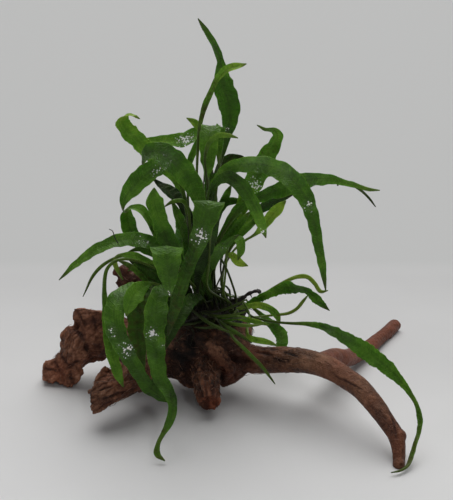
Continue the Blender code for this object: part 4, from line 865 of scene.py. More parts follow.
def floor_material():
    """A pale floor, a little darker far behind the object."""
    floor = Recipe("pale_floor", Roughness=0.7)
    place = floor.place()
    back = floor.parts(place)[1]
    cloud = floor.noise(place, 5, 3)
    near = floor.span(back, -0.30, 0.30, 0.98, 0.76)
    near = floor.maths("MULTIPLY", near, floor.span(cloud, 0.3, 0.7, 0.97, 1.03))
    far = floor.span(back, *FLOOR_TURNS_DARKER)
    grey = floor.mix(far, FLOOR_NEAR, FLOOR_FAR)
    even = floor.node("CombineXYZ", {axis: near for axis in range(3)}).outputs[0]
    colour = floor.mix(1.0, grey, even, "MULTIPLY")
    return floor.finish(Base_Color=floor.mix(far, colour, grey))


# Pieces.
def add_object(name, data):
    made = bpy.data.objects.new(name, data)
    bpy.context.scene.collection.objects.link(made)
    return made


def object_from(name, mesh, material):
    mesh.materials.append(material)
    mesh.shade_smooth()
    return add_object(name, mesh)


def mesh_from(name, points, faces, add_more=None):
    """A mesh of points and faces, and of what add_more puts into it, with all faces turned outward."""
    mesh = bpy.data.meshes.new(name)
    mesh.from_pydata(points.tolist(), [], faces)
    bm = bmesh.new()
    bm.from_mesh(mesh)
    if add_more:
        add_more(bm)
    bmesh.ops.recalc_face_normals(bm, faces=bm.faces)
    bm.to_mesh(mesh)
    bm.free()
    return mesh


def add_attribute(mesh, name, columns):
    rows = np.column_stack(columns).astype(np.float32)
    mesh.attributes.new(name, "FLOAT_VECTOR", "POINT").data.foreach_set("vector", rows.ravel())


def keep(piece, slot, *nodes):
    """Fixes a piece to the object and hides the model's solids that it stands for; slot is not used."""
    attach(piece, "root")
    if nodes:
        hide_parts(*nodes)


def turning_frames(spine, first_side):
    """Directions along and across a line, the latter carried along it with no twist."""
    along = unit(np.gradient(spine, axis=0))
    sides = np.empty_like(spine)
    side = first_side
    for row, direction in enumerate(along):
        side = unit(side - direction * (side @ direction))
        sides[row] = side
    return along, sides, np.cross(along, sides)


def close_rings(rings, first_end, last_end):
    """Joins rings of points into a closed skin, with a point at each end."""
    count, around = rings.shape[:2]
    points = np.vstack([rings.reshape(-1, 3), first_end, last_end])
    last = (count - 1) * around
    turns = [(k, (k + 1) % around) for k in range(around)]
    faces = [(start + k, start + after, start + around + after, start + around + k)
             for start in range(0, last, around) for k, after in turns]
    for k, after in turns:
        faces.append((count * around, after, k))
        faces.append((count * around + 1, last + k, last + after))
    return points, faces


def tube(rows, sides):
    """The points and faces of a closed round tube along rows of x, y, z and radius."""
    spine = rows[:, :3]
    first_side = unit(np.cross(spine[1] - spine[0], [0.31, 0.17, 0.93]))
    _, a, b = turning_frames(spine, first_side)
    angles = (np.arange(sides) * 2 * math.pi / sides)[:, None]
    spokes = a[:, None] * np.cos(angles) + b[:, None] * np.sin(angles)
    return close_rings(spine[:, None] + rows[:, 3, None, None] * spokes, spine[0], spine[-1])


def joined(shapes):
    """One list of points and one of faces for several closed shapes."""
    points, faces, start = [], [], 0
    for shape_points, shape_faces in shapes:
        points.append(shape_points)
        faces += [tuple(index + start for index in face) for face in shape_faces]
        start += len(shape_points)
    return np.vstack(points), faces


# The fronds. A frond's rows go from foot to tip, and its columns across the blade, from -1 at one margin to
# 1 at the other. A ring goes across the upper side and back under the lower side. Lengths are in metres.
COLUMNS = np.array([-1, -0.965, -0.86, -0.70, -0.52, -0.34, -0.18, -0.07, 0,
                    0.07, 0.18, 0.34, 0.52, 0.70, 0.86, 0.965, 1])
ASIDE = np.abs(COLUMNS)
RING_COLUMNS = np.concatenate([COLUMNS, COLUMNS[-2:0:-1]])
BLADE_ROW = 0.0011
FEWEST_BLADE_ROWS = 12
BROADEST_STALK = STALK_WIDTH * 1.35
STALK_ROW_EVERY = 3
STALK_DEPTH = 0.004
# The widths between which a round stalk turns into a flat blade, and the least width of a tip.
STALK_TO_BLADE = (0.0022, 0.0048)
TIP_WIDTH = 0.0005
BLADE_HALF_THICKNESS = 0.00016
# The midrib: how far it stands out under the blade, the share of that above it, half its width, and half the
# width of a blade that has a full midrib.
MIDRIB_HEIGHT = 0.00032
MIDRIB_ABOVE = 0.4
MIDRIB_HALF_WIDTH = 0.0006
FULL_RIB_HALF_WIDTH = 0.004
# How thick a stalk is, as a share of its width.
STALK_ROUNDNESS = 0.95
# How the whole blade rolls to and fro, how far it is cupped, the waves of its margins, its slow swell, and
# the quilting between the side veins.
ROLL = 0.24
ROLLS_PER_METRE = 45
CUPPING = (-0.12, 0.10)
WAVE_LENGTHS = (0.013, 0.024)
WAVE_HEIGHT = 0.075
WIDEST_WAVED = 0.016
SECOND_WAVE_LENGTH = 0.45
SECOND_WAVE_HEIGHT = 0.4
EDGE_RIPPLE = 0.045
EDGE_RIPPLE_LENGTH = 0.7
EDGE_NOISE = 0.05
EDGE_SPOTS_PER_METRE = 420
SWELL_HEIGHT = 0.0005
SWELL_LENGTHS = (0.020, 0.034)
SECOND_SWELL_LENGTHS = (0.010, 0.016)
SECOND_SWELL_HEIGHT = 0.6
QUILT_HEIGHT = 0.00013
# Tones: how much darker the foot is and how far that reaches, and how much the tone changes from spot to
# spot, from leaf to leaf and from one side of a leaf to the other.
FOOT_DARKNESS = 0.55
DARK_FOOT = 0.014
BLOTCHES = 0.10
BLOTCHES_PER_METRE = 110
TONE_CHANGE = 0.05
SIDE_CHANGE = 0.06
FIRST_SEED = 100


def refined_run(run):
    """The run at a fine scale: close rows on the blade, fewer on the stalk, a foot inside the rhizome."""
    length = step_lengths(run[:, :3]).sum()
    rows = smooth_run(run, max(FEWEST_BLADE_ROWS, round(length / BLADE_ROW)))
    rows[:, 3] = np.maximum(rows[:, 3], TIP_WIDTH)
    narrow = rows[:, 3] < BROADEST_STALK
    wanted = ~narrow | (np.arange(len(rows)) % STALK_ROW_EVERY == 0)
    wanted[-1] = True
    rows = rows[wanted]
    foot = rows[0] - [0, 0, STALK_DEPTH, 0]
    return np.vstack([foot, rows])


def ripple(run, length, phase):
    return np.sin(2 * math.pi * run / length + phase)


def rolled_sides(rows, run, flat, frond, rng):
    """The directions across the blade and out of it, which roll a little to and fro on the way up."""
    along = unit(np.gradient(rows[:, :3], axis=0))
    faced = blade_sides(rows, frond.turn, frond.spin)
    spots = np.column_stack([run * ROLLS_PER_METRE, 0 * run + rng.uniform(0, 30), 0 * run])
    roll = ROLL * frond.waving * mottle(spots)[:, None] * flat
    sides = unit(faced * np.cos(roll) + np.cross(along, faced) * np.sin(roll))
    return sides, unit(np.cross(along, sides))


def waved_margins(run, waving, ragged, rng):
    """How the waves of the margins lift each point of the blade, and how much farther out they take it."""
    wave, extra = np.zeros((2, len(run), len(COLUMNS)))
    for side in (-1, 1):
        lengths = rng.uniform(*WAVE_LENGTHS, 2) * (1.0, SECOND_WAVE_LENGTH)
        phases = rng.uniform(0, 2 * math.pi, 4)
        swing = ripple(run, lengths[0], phases[0]) + SECOND_WAVE_HEIGHT * ripple(run, lengths[1], phases[1])
        spots = np.column_stack([run * EDGE_SPOTS_PER_METRE, 0 * run + phases[3], 0 * run + side * 3.0])
        edge = EDGE_RIPPLE * ripple(run, lengths[0] * EDGE_RIPPLE_LENGTH, phases[2])
        edge = edge + EDGE_NOISE * waving * mottle(spots) + ragged * mottle(spots * (1.6, 1, 1))
        on_side = np.sign(COLUMNS) == side
        wave += np.outer(swing, on_side * ASIDE**2)
        extra += np.outer(edge, on_side * ASIDE)
    return wave, extra


def blade_lift(run, half, frond, cup, wave, rng):
    """How far each point of the blade lies above the flat: by the fold and the cup along the midrib, the
    waves of the margins, a slow swell towards the tip, and the quilting between the side veins."""
    lift = half * (math.tan(math.radians(frond.fold)) * ASIDE + cup * ASIDE**2)
    lift = lift + WAVE_HEIGHT * frond.waving * wave * np.minimum(half * 2, WIDEST_WAVED)
    swell = ripple(run, rng.uniform(*SWELL_LENGTHS), rng.uniform(0, 6))
    swell = swell + SECOND_SWELL_HEIGHT * ripple(run, rng.uniform(*SECOND_SWELL_LENGTHS), rng.uniform(0, 6))
    lift = lift + SWELL_HEIGHT * frond.waving * np.outer(swell, 1 - 0.6 * ASIDE**2)
    order = (run[:, None] + VEIN_SLANT * ASIDE * half) / (VEIN_SPACING * MILLIMETRE)
    quilt = np.abs(np.sin(math.pi * order)) - 0.6
    return lift + QUILT_HEIGHT * quilt * (ASIDE * (1 - ASIDE) * 4) ** 0.5


def half_thicknesses(half, flat):
    """How far the upper and the under side lie from the middle, on the thin blade and on the round stalk."""
    rib = MIDRIB_HEIGHT * np.exp(-((COLUMNS * half / MIDRIB_HALF_WIDTH) ** 2))
    rib = rib * np.minimum(1, half / FULL_RIB_HALF_WIDTH)
    thin = BLADE_HALF_THICKNESS * (1 - 0.5 * ASIDE)
    stalk = (1 - flat) * STALK_ROUNDNESS * half * np.sqrt(1 - ASIDE**2)
    upper, under = (flat * (thin + share * rib) + stalk for share in (MIDRIB_ABOVE, 1))
    for side in (upper, under):
        side[:, (0, -1)] = 0
    return upper, under


def frond_shape(rows, run, flat, frond, ragged, rng):
    """The points and faces of one frond, stalk and blade in one closed skin."""
    spine, half = rows[:, :3], rows[:, 3, None] / 2
    sides, normals = rolled_sides(rows, run, flat, frond, rng)
    cup = rng.uniform(*CUPPING)
    wave, extra = waved_margins(run, frond.waving, ragged, rng)
    lift = flat * blade_lift(run, half, frond, cup, wave, rng)
    upper, under = half_thicknesses(half, flat)
    middle = spine[:, None] + sides[:, None] * (COLUMNS * half * (1 + flat * extra))[..., None]
    top = middle + normals[:, None] * (lift + upper)[..., None]
    bottom = middle + normals[:, None] * (lift - under)[..., None]
    return close_rings(np.concatenate([top, bottom[:, -2:0:-1]], axis=1), spine[0], spine[-1])


def between(stops, fractions):
    """A value that goes through the stops, which are evenly spaced from 0 to 1."""
    return np.interp(fractions, np.linspace(0, 1, len(stops)), stops)


def glint_and_wet_places(name, points):
    """How much painted glint and wet coat a leaf has, and how much it shines, at each of its points."""
    wet, shine = np.zeros((2, len(points)))
    places = drawn(points)
    for across, down, size, glitter, gloss in GLINT_AND_WET_PLACES.get(name, ()):
        near = near_spot(places, across, down, size)
        wet = np.maximum(wet, glitter * near)
        shine = np.maximum(shine, gloss * near)
    return wet, shine


def make_frond(name, frond, run, material, seed):
    """One leaf, with what its material reads: place on the blade, tone, dryness, water with its painted
    glints, and flatness.
    """
    rng = np.random.default_rng(seed)
    rows = refined_run(run)
    lengths = run_of(rows[:, :3])
    flat = smoothstep(*STALK_TO_BLADE, rows[:, 3, None])
    points, faces = frond_shape(rows, lengths, flat, frond, RAGGED.get(name, 0.0), rng)
    row_of = np.append(np.repeat(np.arange(len(rows)), len(RING_COLUMNS)), [0, len(rows) - 1])
    share = np.append(np.tile(RING_COLUMNS, len(rows)), [0, 0])
    fractions = lengths / lengths[-1]
    tone = between(frond.tones, fractions) + rng.uniform(-TONE_CHANGE, TONE_CHANGE)
    tone = tone - FOOT_DARKNESS * np.exp(-lengths / DARK_FOOT)
    blotches = BLOTCHES * layered(points * BLOTCHES_PER_METRE + seed)
    blotches = blotches + rng.uniform(-SIDE_CHANGE, SIDE_CHANGE) * share
    wet, shine = glint_and_wet_places(name, points)
    mesh = mesh_from("leaf_" + name, points, faces)
    across = share * rows[row_of, 3] / 2
    add_attribute(mesh, "blade", [lengths[row_of] / MILLIMETRE, across / MILLIMETRE, share])
    add_attribute(mesh, "look", [tone[row_of] + blotches, between(frond.dryness, fractions)[row_of], wet])
    add_attribute(mesh, "form", [flat[row_of, 0], shine, np.zeros(len(points))])
    return object_from("leaf_" + name, mesh, material)


def leaf_kind(name):
    if "lime" in name or "curl" in name:
        return "lime"
    return "dark" if "dark" in name or "behind" in name else "bright"


def make_fronds():
    leaves = {kind: leaf_material("leaf_" + kind) for kind in ("bright", "dark", "lime")}
    seeds = itertools.count(FIRST_SEED)
    for name, run in lean_apart(frond_runs()).items():
        kind = leaf_kind(name)
        piece = make_frond(name, FRONDS[name], run, leaves[kind], next(seeds))
        keep(piece, "leaf_" + kind, "frond_" + name)
    for name, frond in SMALL_FRONDS.items():
        run = spaced_run(placed(frond.route), FROND_ROW_SPACING, FEWEST_FROND_ROWS)
        keep(make_frond(name, frond, run, leaves[frond.home], next(seeds)), "leaf_" + frond.home)


# The wood.
WOOD_VOXEL = 0.0010
SMOOTHING = 0.5
SMOOTHING_ROUNDS = 3
LIMB_ROW = 0.004
FEWEST_LIMB_ROWS = 4
LIMB_SIDES = 24
# How each limb's skin is: its lumps, grooves, chips and splinters at the free end, in millimetres, and how
# red and how pale it is.
SKINS = {
    "driftwood_trunk": (1.0, 0.45, 0.6, 0.0, 0.15, -0.42),
    "driftwood_left_limb": (0.8, 0.22, 0.9, 0.45, 0.6, 0.16),
    "driftwood_front_left_stub": (0.7, 0.4, 0.7, 1.2, 0.35, -0.04),
    "driftwood_front_middle_stub": (0.5, 1.0, 0.7, 1.2, 0.35, -0.04),
    "driftwood_long_branch": (0.4, 0.14, 0.12, 0.0, 0.22, -0.30),
    "driftwood_rear_branch": (0.4, 0.12, 0.1, 0.0, 1.0, -0.10),
    "driftwood_back_stub": (1.0, 0.6, 0.7, 0.4, 0.50, -0.35),
    "driftwood_right_knob": (0.4, 0.1, 0.1, 0.0, -0.10, -0.02),
}
# The sizes of the skin's details along and across the grain, in millimetres.
LUMP_SIZE = (22, 11, 11)
GROOVE_SIZE = (34, 4.6, 4.6)
FIBRE_SIZE = (14, 1.8, 1.8)
CHIP_SIZE = (6.5, 4.5, 4.5)
CRUMB_SIZE = 2.6
SPLINTER_SIZE = (30, 2.2, 2.2)
# The limbs' skins are blended where they meet: each counts less outside this share of its own radius.
BLEND_FROM = 0.75
BLEND_SHARPNESS = 7
# The share of a limb from which on its end is splintered.
SPLINTERED_FROM = 0.93
# How much painted shade darkens creases and notches, and how far and how closely the creases wander.
CREASE_PAINTED_SHADE = 0.9
NOTCH_PAINTED_SHADE = 0.4
CREASE_WANDER = 1.6
WANDERS_PER_METRE = 160
# Lumps that stand out from the limbs, as route points.
LUMPS = rows_of("""
    65 336 -8 4.5, 100 352 -10 8, 90 356 -10 7, 118 370 50 7, 128 388 46 7, 140 384 38 7,
    117.5 272 -32 5.5, 126 271 -30 6.5, 133 280 -27 8, 124 283 -30 6, 399 436 112 6, 180 370 24 8,
    200 340 27 7, 208 346 32 7, 216 353 34 7, 223 361 35 7, 229 368 33 6.5, 241.5 331 -5 9.2,
    236 324 -7 9, 206 380 42 9, 386 334 -93 6.4, 399 464 127 4.8, 221 378 26 6""")
# Angular blocks that stand out from the limbs: the places and reaches of their corners.
BLOCKS = row_groups("""
    73 308 -2, 84 308 0, 104 312 5, 104 334 9, 86 332 7, 72 321 1, 74 308 -20, 86 309 -22, 104 312 -22,
    104 330 -24, 73 321 -18;
    67 324.5 -8, 59.5 333 -8, 62.5 341 -4, 77 330 2, 84 346 6, 60 350 -4, 68 326 -16, 61 335 -16,
    64 350 -18, 80 335 -20;
    62 346 -2, 58.5 357 0, 77 341 9, 90 354 10, 76 373 9, 62 366 6, 64 348 -16, 60 358 -14, 86 352 -18,
    78 370 -16;
    45.5 361 -3, 57 358 0, 43 366 0, 42 379.5 3, 53 383.5 6, 66 368 5, 46 362 -15, 43 377 -9, 60 362 -18,
    56 380 -8;
    59 384.5 4, 70 388 9, 77 383.5 8, 84 373 7, 80 362 8, 62 366 6, 60 382 -5, 72 384 -4, 80 374 -10,
    64 364 -14;
    106 364 58, 99 370.5 63, 94.5 380 69, 89.5 389 74, 89.5 405 78, 93 415.5 82, 102 412.5 78, 113 404 68,
    103 369 56, 120 373 50, 100 380 52, 93 392 58, 95 405 62, 112 396 52;
    225 365 24, 236 362 28, 248 366 24, 246 375 22, 237 383 22, 228 387 26, 221 388.5 28, 220 372 34,
    225 370 4, 246 368 4, 236 378 4;
    172 370 8, 179 383 14, 186 387.5 22, 196 389 28, 198 368 36, 184 364 28, 176 376 -2, 194 380 4;
    193 382 48, 195 396 54, 198 406 58, 205 411.5 61, 214 411 61, 221.5 403 58, 221 388 50, 219 374 44,
    196 372 42, 198 402 47, 217 405 47""")
# Creases, darkened with painted shade: the two ends in the front drawing, half the width there, and the
# depth in millimetres.
CREASES = rows_of("""
    66 367 82 360 1.6 1.6, 74 327 84 340 1.6 1.8, 84 340 90 356 1.8 1.2, 60 352 68 366 1.2 1,
    104 399 138 388 1.4 1.6, 94 393 112 386 1.2 1.2, 226 358 250 361 2.4 3.4, 254 352 272 354 1.5 1.6,
    272 358 288 361 1.2 1, 258 347 280 350 1.2 0.8, 283 352 300 357 0.9 0.6, 176 352 196 372 3 1.8,
    189 340 193 356 2.2 1.6, 222 368 222 388 2.2 3, 232 372 236 382 1 1.2, 240 368 246 376 1 1.2,
    196 378 203 398 1.2 1.1, 214 380 213 402 1.2 1.1, 204 384 210 404 0.9 0.8, 54 358 60 374 1.4 1.2,
    390 412 398 440 1 0.6, 330 372 362 390 0.9 0.4, 46 368 56 372 1.2 1, 70 372 74 386 1.4 1,
    80 314 84 326 1.2 0.8, 92 316 96 330 1.2 0.9""")
# Notches cut into the outline and darkened with painted shade: the place and size in the front drawing,
# and the depth in millimetres.
NOTCHES = rows_of("""
    73 325.5 3.6 9, 58 350 4 3, 61 340 2 1, 92 386.5 3.5 2.8, 88.5 396 3 1.5, 53 356 3 1.5""")
# Patches of other colour on the wood: the place and size in the front drawing, redness and paleness. Most
# are the wood's own red, orange and pale colour; the darker ones are painted shade where the wood lies in
# shadow, and the pale patch on the middle stub's end is partly painted light.
WOOD_PATCHES = rows_of("""
    212 351 9 0.2 0.5, 223 363 8 0.3 0.3, 252 349 12 0.6 0, 214 405 8 0.9 0.62, 208 385 12 0.3 -0.05,
    112 376 12 0.4 0.1, 60 372 12 0.3 0.1, 243 329 12 -0.4 0.25, 340 360 8 0.4 0.1, 390 330 20 0.1 0.3,
    300 360 40 -0.2 0.06, 398 448 24 0.3 0.25, 182 362 18 -0.2 -0.5, 190 345 12 -0.2 -0.4,
    238 360 10 -0.1 -0.7, 126 280 13 0.2 -0.45, 112 274 5 0.4 0.5, 110 402 5 0 -0.3, 118 268 8 0.4 0.2,
    200 336 9 0 -0.4, 222 378 6 -0.2 -0.6, 230 376 7 0.3 0.3, 96 350 9 0 -0.25, 132 384 10 0 -0.25""")


def limb_rows(name):
    return spaced_run(placed(LIMBS[name]), LIMB_ROW, FEWEST_LIMB_ROWS)


def limb_space(points, rows):
    """For each point, its place in a straightened limb (along, and two ways across), in millimetres, its
    distance from the limb's axis as a share of the limb's radius, and how far it lies along the limb."""
    starts, steps = rows[:-1, :3], np.diff(rows[:, :3], axis=0)
    along, a, b = turning_frames(rows[:, :3], unit(np.cross(steps[0], [0.1, 0.2, 0.9])))
    lengths, run = step_lengths(rows[:, :3]), run_of(rows[:, :3])
    offsets = points[:, None] - starts
    parts = np.clip((offsets * steps).sum(axis=2) / lengths**2, 0, 1)
    away = np.linalg.norm(offsets - parts[..., None] * steps, axis=2)
    nearest = away.argmin(axis=1)
    pick = np.arange(len(points))
    part = parts[pick, nearest]
    radial = points - starts[nearest] - part[:, None] * steps[nearest]
    radius = rows[nearest, 3] + part * (rows[nearest + 1, 3] - rows[nearest, 3])
    past = np.where(nearest == len(steps) - 1, (radial * along[-1]).sum(axis=1), 0)
    at = run[nearest] + part * lengths[nearest]
    across = [(radial * side[nearest]).sum(axis=1) for side in (a, b)]
    space = np.column_stack([at + past, *across])
    return space / MILLIMETRE, away[pick, nearest] / radius, at / run[-1]


def add_block(bm, corners):
    """Adds the smallest convex solid that holds all the corners."""
    made = bmesh.ops.convex_hull(bm, input=[bm.verts.new(corner) for corner in corners])
    left_over = dict.fromkeys(made["geom_interior"] + made["geom_unused"])
    spare = [item for item in left_over if isinstance(item, bmesh.types.BMVert)]
    bmesh.ops.delete(bm, geom=spare, context="VERTS")


def add_lumps_and_blocks(bm):
    for x, y, z, radius in placed(LUMPS):
        bmesh.ops.create_icosphere(bm, subdivisions=3, radius=radius, matrix=Matrix.Translation((x, y, z)))
    for corners in BLOCKS:
        add_block(bm, [sighted(*corner) for corner in corners])


def whole_wood():
    """All the limbs, lumps and blocks as one closed skin with faces of one size."""
    points, faces = joined([tube(limb_rows(name), LIMB_SIDES) for name in LIMBS])
    rough = add_object("limbs", mesh_from("limbs", points, faces, add_lumps_and_blocks))
    remesh = rough.modifiers.new("skin", "REMESH")
    remesh.mode = "VOXEL"
    remesh.voxel_size = WOOD_VOXEL
    smooth = rough.modifiers.new("smooth", "SMOOTH")
    smooth.factor = SMOOTHING
    smooth.iterations = SMOOTHING_ROUNDS
    graph = bpy.context.evaluated_depsgraph_get()
    skin = bpy.data.meshes.new_from_object(rough.evaluated_get(graph))
    bpy.data.objects.remove(rough)
    skin.name = "driftwood"
    return skin


def limb_skin(space, lumps, grooves, chips, splinters):
    """How far one limb's skin moves outward and along the limb, and its painted shade, darker in grooves and
    chips and lighter on lumps, at each place in the straightened limb. Each noise is shifted by a distance
    of its own, so that no two look alike."""
    bulge = layered(space / LUMP_SIZE + 3.1, 2)
    groove = np.clip(1 - np.abs(layered(space / GROOVE_SIZE + 8.7, 3)) * 2.4, 0, 1) ** 2
    fine = layered(space / FIBRE_SIZE + 20.3, 2)
    crumbs = layered(space / CRUMB_SIZE + 31.7, 2)
    chip = chipped(space / CHIP_SIZE + 2.2 + 0.5 * layered(space / 5, 2)[:, None])
    outward = lumps * bulge - grooves * groove + 0.25 * grooves * fine - chips * chip + 0.6 * chips * crumbs
    onward = splinters * layered(space / SPLINTER_SIZE + 5.5, 2)
    # Painted shade: darker in grooves and in the cracks between chips, lighter where lumps, fibres and
    # crumbs stand out.
    relief_shade = 0.7 * groove * min(1, grooves) - 0.3 * bulge - 0.3 * fine * min(1, grooves)
    relief_shade += 0.45 * chip * min(1, chips) - 0.25 * crumbs * min(1, chips)
    return outward, onward, relief_shade


def skin_of_limbs(points):
    """What the limbs nearest to each point give it: how far its skin moves outward and along the limb, in
    millimetres, its place along the grain, its painted shade in grooves and chips, and how red and pale it
    is."""
    total = np.zeros((len(points), 1))
    sums = np.zeros((len(points), 10))
    for name, (*skin, redness, pale) in SKINS.items():
        rows = limb_rows(name)
        space, off_axis, fraction = limb_space(points, rows)
        outward, onward, relief_shade = limb_skin(space, *skin)
        onward = onward * smoothstep(SPLINTERED_FROM, 1.0, fraction)
        onward = onward[:, None] * unit(rows[-1, :3] - rows[-3, :3])
        tints = np.full((len(points), 2), (redness, pale))
        weight = np.exp(-BLEND_SHARPNESS * np.maximum(off_axis - BLEND_FROM, 0))[:, None]
        sums += weight * np.column_stack([outward, onward, space, relief_shade, tints])
        total += weight
    mean = sums / total
    return mean[:, 0], mean[:, 1:4], mean[:, 4:7], *mean[:, 7:].T


def line_nearness(places, line, half_width):
    """1 on a line in the front drawing, falling to 0 about two half-widths away and weaker at its ends."""
    start, step = np.array(line[:2]), np.subtract(line[2:], line[:2])
    part = np.clip((places - start) @ step / (step @ step), 0, 1)
    away = np.linalg.norm(places - start - part[:, None] * step, axis=1)
    return np.exp(-((away / half_width) ** 2)) * np.minimum(1, 0.35 + 2.6 * part * (1 - part))


def vectors_of(items, key):
    values = np.empty(len(items) * 3, np.float32)
    items.foreach_get(key, values)
    return values.reshape(-1, 3).astype(float)


def mark_skin(points, normals, outward, relief_shade, redness, pale):
    """Presses creases and notches into the skin and darkens them with painted shade, and gives it patches of
    other colour, some of them painted light and shade.
    """
    places = drawn(points)
    facing = smoothstep(0.0, 0.5, -(normals @ FORWARD))
    spots = points * WANDERS_PER_METRE
    wander = CREASE_WANDER * np.column_stack([mottle(spots), mottle(spots + 9)])
    for *line, half_width, depth in CREASES:
        near = line_nearness(places + wander, line, half_width) * facing
        outward -= depth * near
        relief_shade += CREASE_PAINTED_SHADE * near
    for across, down, size, depth in NOTCHES:
        near = near_spot(places, across, down, size)
        outward -= depth * near
        relief_shade += NOTCH_PAINTED_SHADE * near
    # Paleness here is partly the wood's own colour and partly painted light and shade.
    for across, down, size, red, light in WOOD_PATCHES:
        near = near_spot(places, across, down, size) * facing
        redness += red * near
        pale += light * near


def make_wood():
    skin = whole_wood()
    points, normals = vectors_of(skin.vertices, "co"), vectors_of(skin.vertex_normals, "vector")
    outward, onward, grain, relief_shade, redness, pale = skin_of_limbs(points)
    mark_skin(points, normals, outward, relief_shade, redness, pale)
    points += (normals * outward[:, None] + onward) * MILLIMETRE
    points[:, 2] = np.maximum(points[:, 2], 0.0)
    skin.vertices.foreach_set("co", points.astype(np.float32).ravel())
    skin.update()
    # Painted light and shade: undersides are made darker and redder and upward faces paler, as light from
    # above would make them.
    under = smoothstep(0.2, -0.7, normals[:, 2])
    redness = np.clip(redness + 0.25 * under + 0.3 * mottle(points * 60), 0, 1)
    pale = pale - 0.15 * under + 0.12 * smoothstep(0.3, 0.9, normals[:, 2])
    add_attribute(skin, "grain", [grain])
    add_attribute(skin, "bark", [np.clip(relief_shade, -0.5, 1.2), redness, pale])
    wood = object_from("driftwood", skin, wood_material())
    keep(wood, "driftwood", *LIMBS)
    return wood


# Threads: roots, root hairs and loose fibres. Lengths are in metres. A root or fibre goes forward in steps,
# wanders at each of them, and lies a little off the wood's skin.
THREAD_STEP = 0.0016
THREAD_SIDES = 5
THREAD_TAPER = 0.35
OFF_SKIN = (0.0001, 0.0011)
LOWEST_THREAD = 0.0003
FIBRE_WANDERING = 0.16
ROOT_WANDERING = 0.33
ROOT_LENGTHS = (0.008, 0.034)
ROOT_RADII = (0.00016, 0.00040)
ROOTS_PER_RHIZOME = 150
PALE_ROOT_EVERY = 5
RHIZOME_ROWS = 40
# How many hairs stand up from a rhizome, how tall they are, and how far they lean.
HAIRS = {"rhizome_front": 120, "rhizome_middle": 90}
HAIR_HEIGHTS = (0.004, 0.013)
HAIR_LEAN = 0.0035
# Loose fibres on the wood: the limb, how many, the share of the limb that they start on, how far they turn
# off the grain in degrees, and their length and half width in millimetres.
FIBRES = [
    ("driftwood_front_middle_stub", 420, (0.4, 1.0), 38, (3, 8), (0.18, 0.45)),
    ("driftwood_front_left_stub", 110, (0.55, 1.0), 12, (5, 14), (0.18, 0.4)),
    ("driftwood_trunk", 70, (0.45, 1.0), 30, (4, 10), (0.12, 0.28)),
    ("driftwood_left_limb", 90, (0.35, 1.0), 30, (4, 10), (0.15, 0.35)),
    ("driftwood_long_branch", 70, (0.0, 0.35), 14, (6, 16), (0.15, 0.35)),
    ("driftwood_back_stub", 50, (0.5, 1.0), 18, (4, 10), (0.18, 0.4)),
]
# The share of them that points back along the limb.
BACKWARD_SHARE = 0.4


def skin_tree(wood):
    return BVHTree.FromObject(wood, bpy.context.evaluated_depsgraph_get())


def creeping_thread(start, heading, length, skin, rng, radius, wandering):
    """The tube of a root or fibre that follows the wood's skin, wandering as it goes."""
    rows = [[*start, radius]]
    place, direction = np.array(start), unit(np.array(heading))
    for _ in range(int(length / THREAD_STEP)):
        direction = unit(direction + rng.normal(scale=wandering, size=3))
        place = place + direction * THREAD_STEP
        near, normal, _, _ = skin.find_nearest(Vector(place))
        near, normal = np.array(near), np.array(normal)
        off = (place - near) @ normal
        place = place + normal * (rng.uniform(*OFF_SKIN) - off) * 0.45
        direction = unit(direction - normal * (direction @ normal) * 0.5)
        rows.append([*place, radius * rng.uniform(0.8, 1.15)])
    rows = np.array(rows)
    rows[:, 3] *= np.linspace(1, THREAD_TAPER, len(rows))
    return tube(rows, THREAD_SIDES)


def keep_threads(name, shapes, material, slot):
    """One piece of many thin shapes, none of them below the floor."""
    points, faces = joined(shapes)
    points[:, 2] = np.maximum(points[:, 2], LOWEST_THREAD)
    keep(object_from(name, mesh_from(name, points, faces), material), slot)


def make_fibres(wood):
    skin = skin_tree(wood)
    rng = np.random.default_rng(23)
    fibres = []
    for name, count, stretch, turn, lengths, widths in FIBRES:
        rows = limb_rows(name)
        for _ in range(count):
            at = int(rng.uniform(*stretch) * (len(rows) - 2))
            along = unit(rows[at + 1, :3] - rows[at, :3])
            side = unit(np.cross(along, rng.normal(size=3)))
            start, _, _, _ = skin.find_nearest(Vector(rows[at, :3] + side * rows[at, 3]))
            angle = math.radians(rng.normal(scale=turn))
            heading = along * math.cos(angle) + np.cross(side, along) * math.sin(angle)
            if rng.random() < BACKWARD_SHARE:
                heading = -heading
            length = rng.uniform(*lengths) * MILLIMETRE
            half_width = rng.uniform(*widths) * MILLIMETRE
            fibres.append(creeping_thread(start, heading, length, skin, rng, half_width, FIBRE_WANDERING))
    brown = stem_material("wood_fibres", (0.026, 0.011, 0.007), (0.330, 0.160, 0.095), 0.55)
    keep_threads("driftwood_fibres", fibres, brown, "driftwood")


def some_row(rows, rng, spread):
    """A row near the start of a line more often than near its end."""
    return rows[min(len(rows) - 2, int(abs(rng.normal(scale=spread))) + 1)]


def hairs_on(rows, rng, count):
    """Short dark roots that stand up among the stalks and arch over."""
    hairs = []
    for _ in range(count):
        foot = some_row(rows, rng, 17)[:3]
        lean = rng.normal(scale=(HAIR_LEAN, HAIR_LEAN, 0.0))
        rise = rng.uniform(*HAIR_HEIGHTS)
        top = foot + lean + [0, 0, rise]
        tip = foot + lean * 2.6 + [0, -0.002, rise * rng.uniform(0.2, 1.0)]
        knots = np.column_stack([[foot, top, tip], [0.0004, 0.0003, 0.0001]])
        hairs.append(tube(smooth_run(knots, 9), THREAD_SIDES))
    return hairs


def roots_on(rows, rng, skin):
    """Fine roots that creep from a rhizome down over the wood."""
    for _ in range(ROOTS_PER_RHIZOME):
        x, y, z, radius = some_row(rows, rng, 15)
        heading = rng.normal(size=3) * (1.0, 1.0, 0.35) + (0, -0.25, -0.7)
        start = (x, y, z - radius * 0.3)
        length = rng.uniform(*ROOT_LENGTHS)
        yield creeping_thread(start, heading, length, skin, rng, rng.uniform(*ROOT_RADII), ROOT_WANDERING)


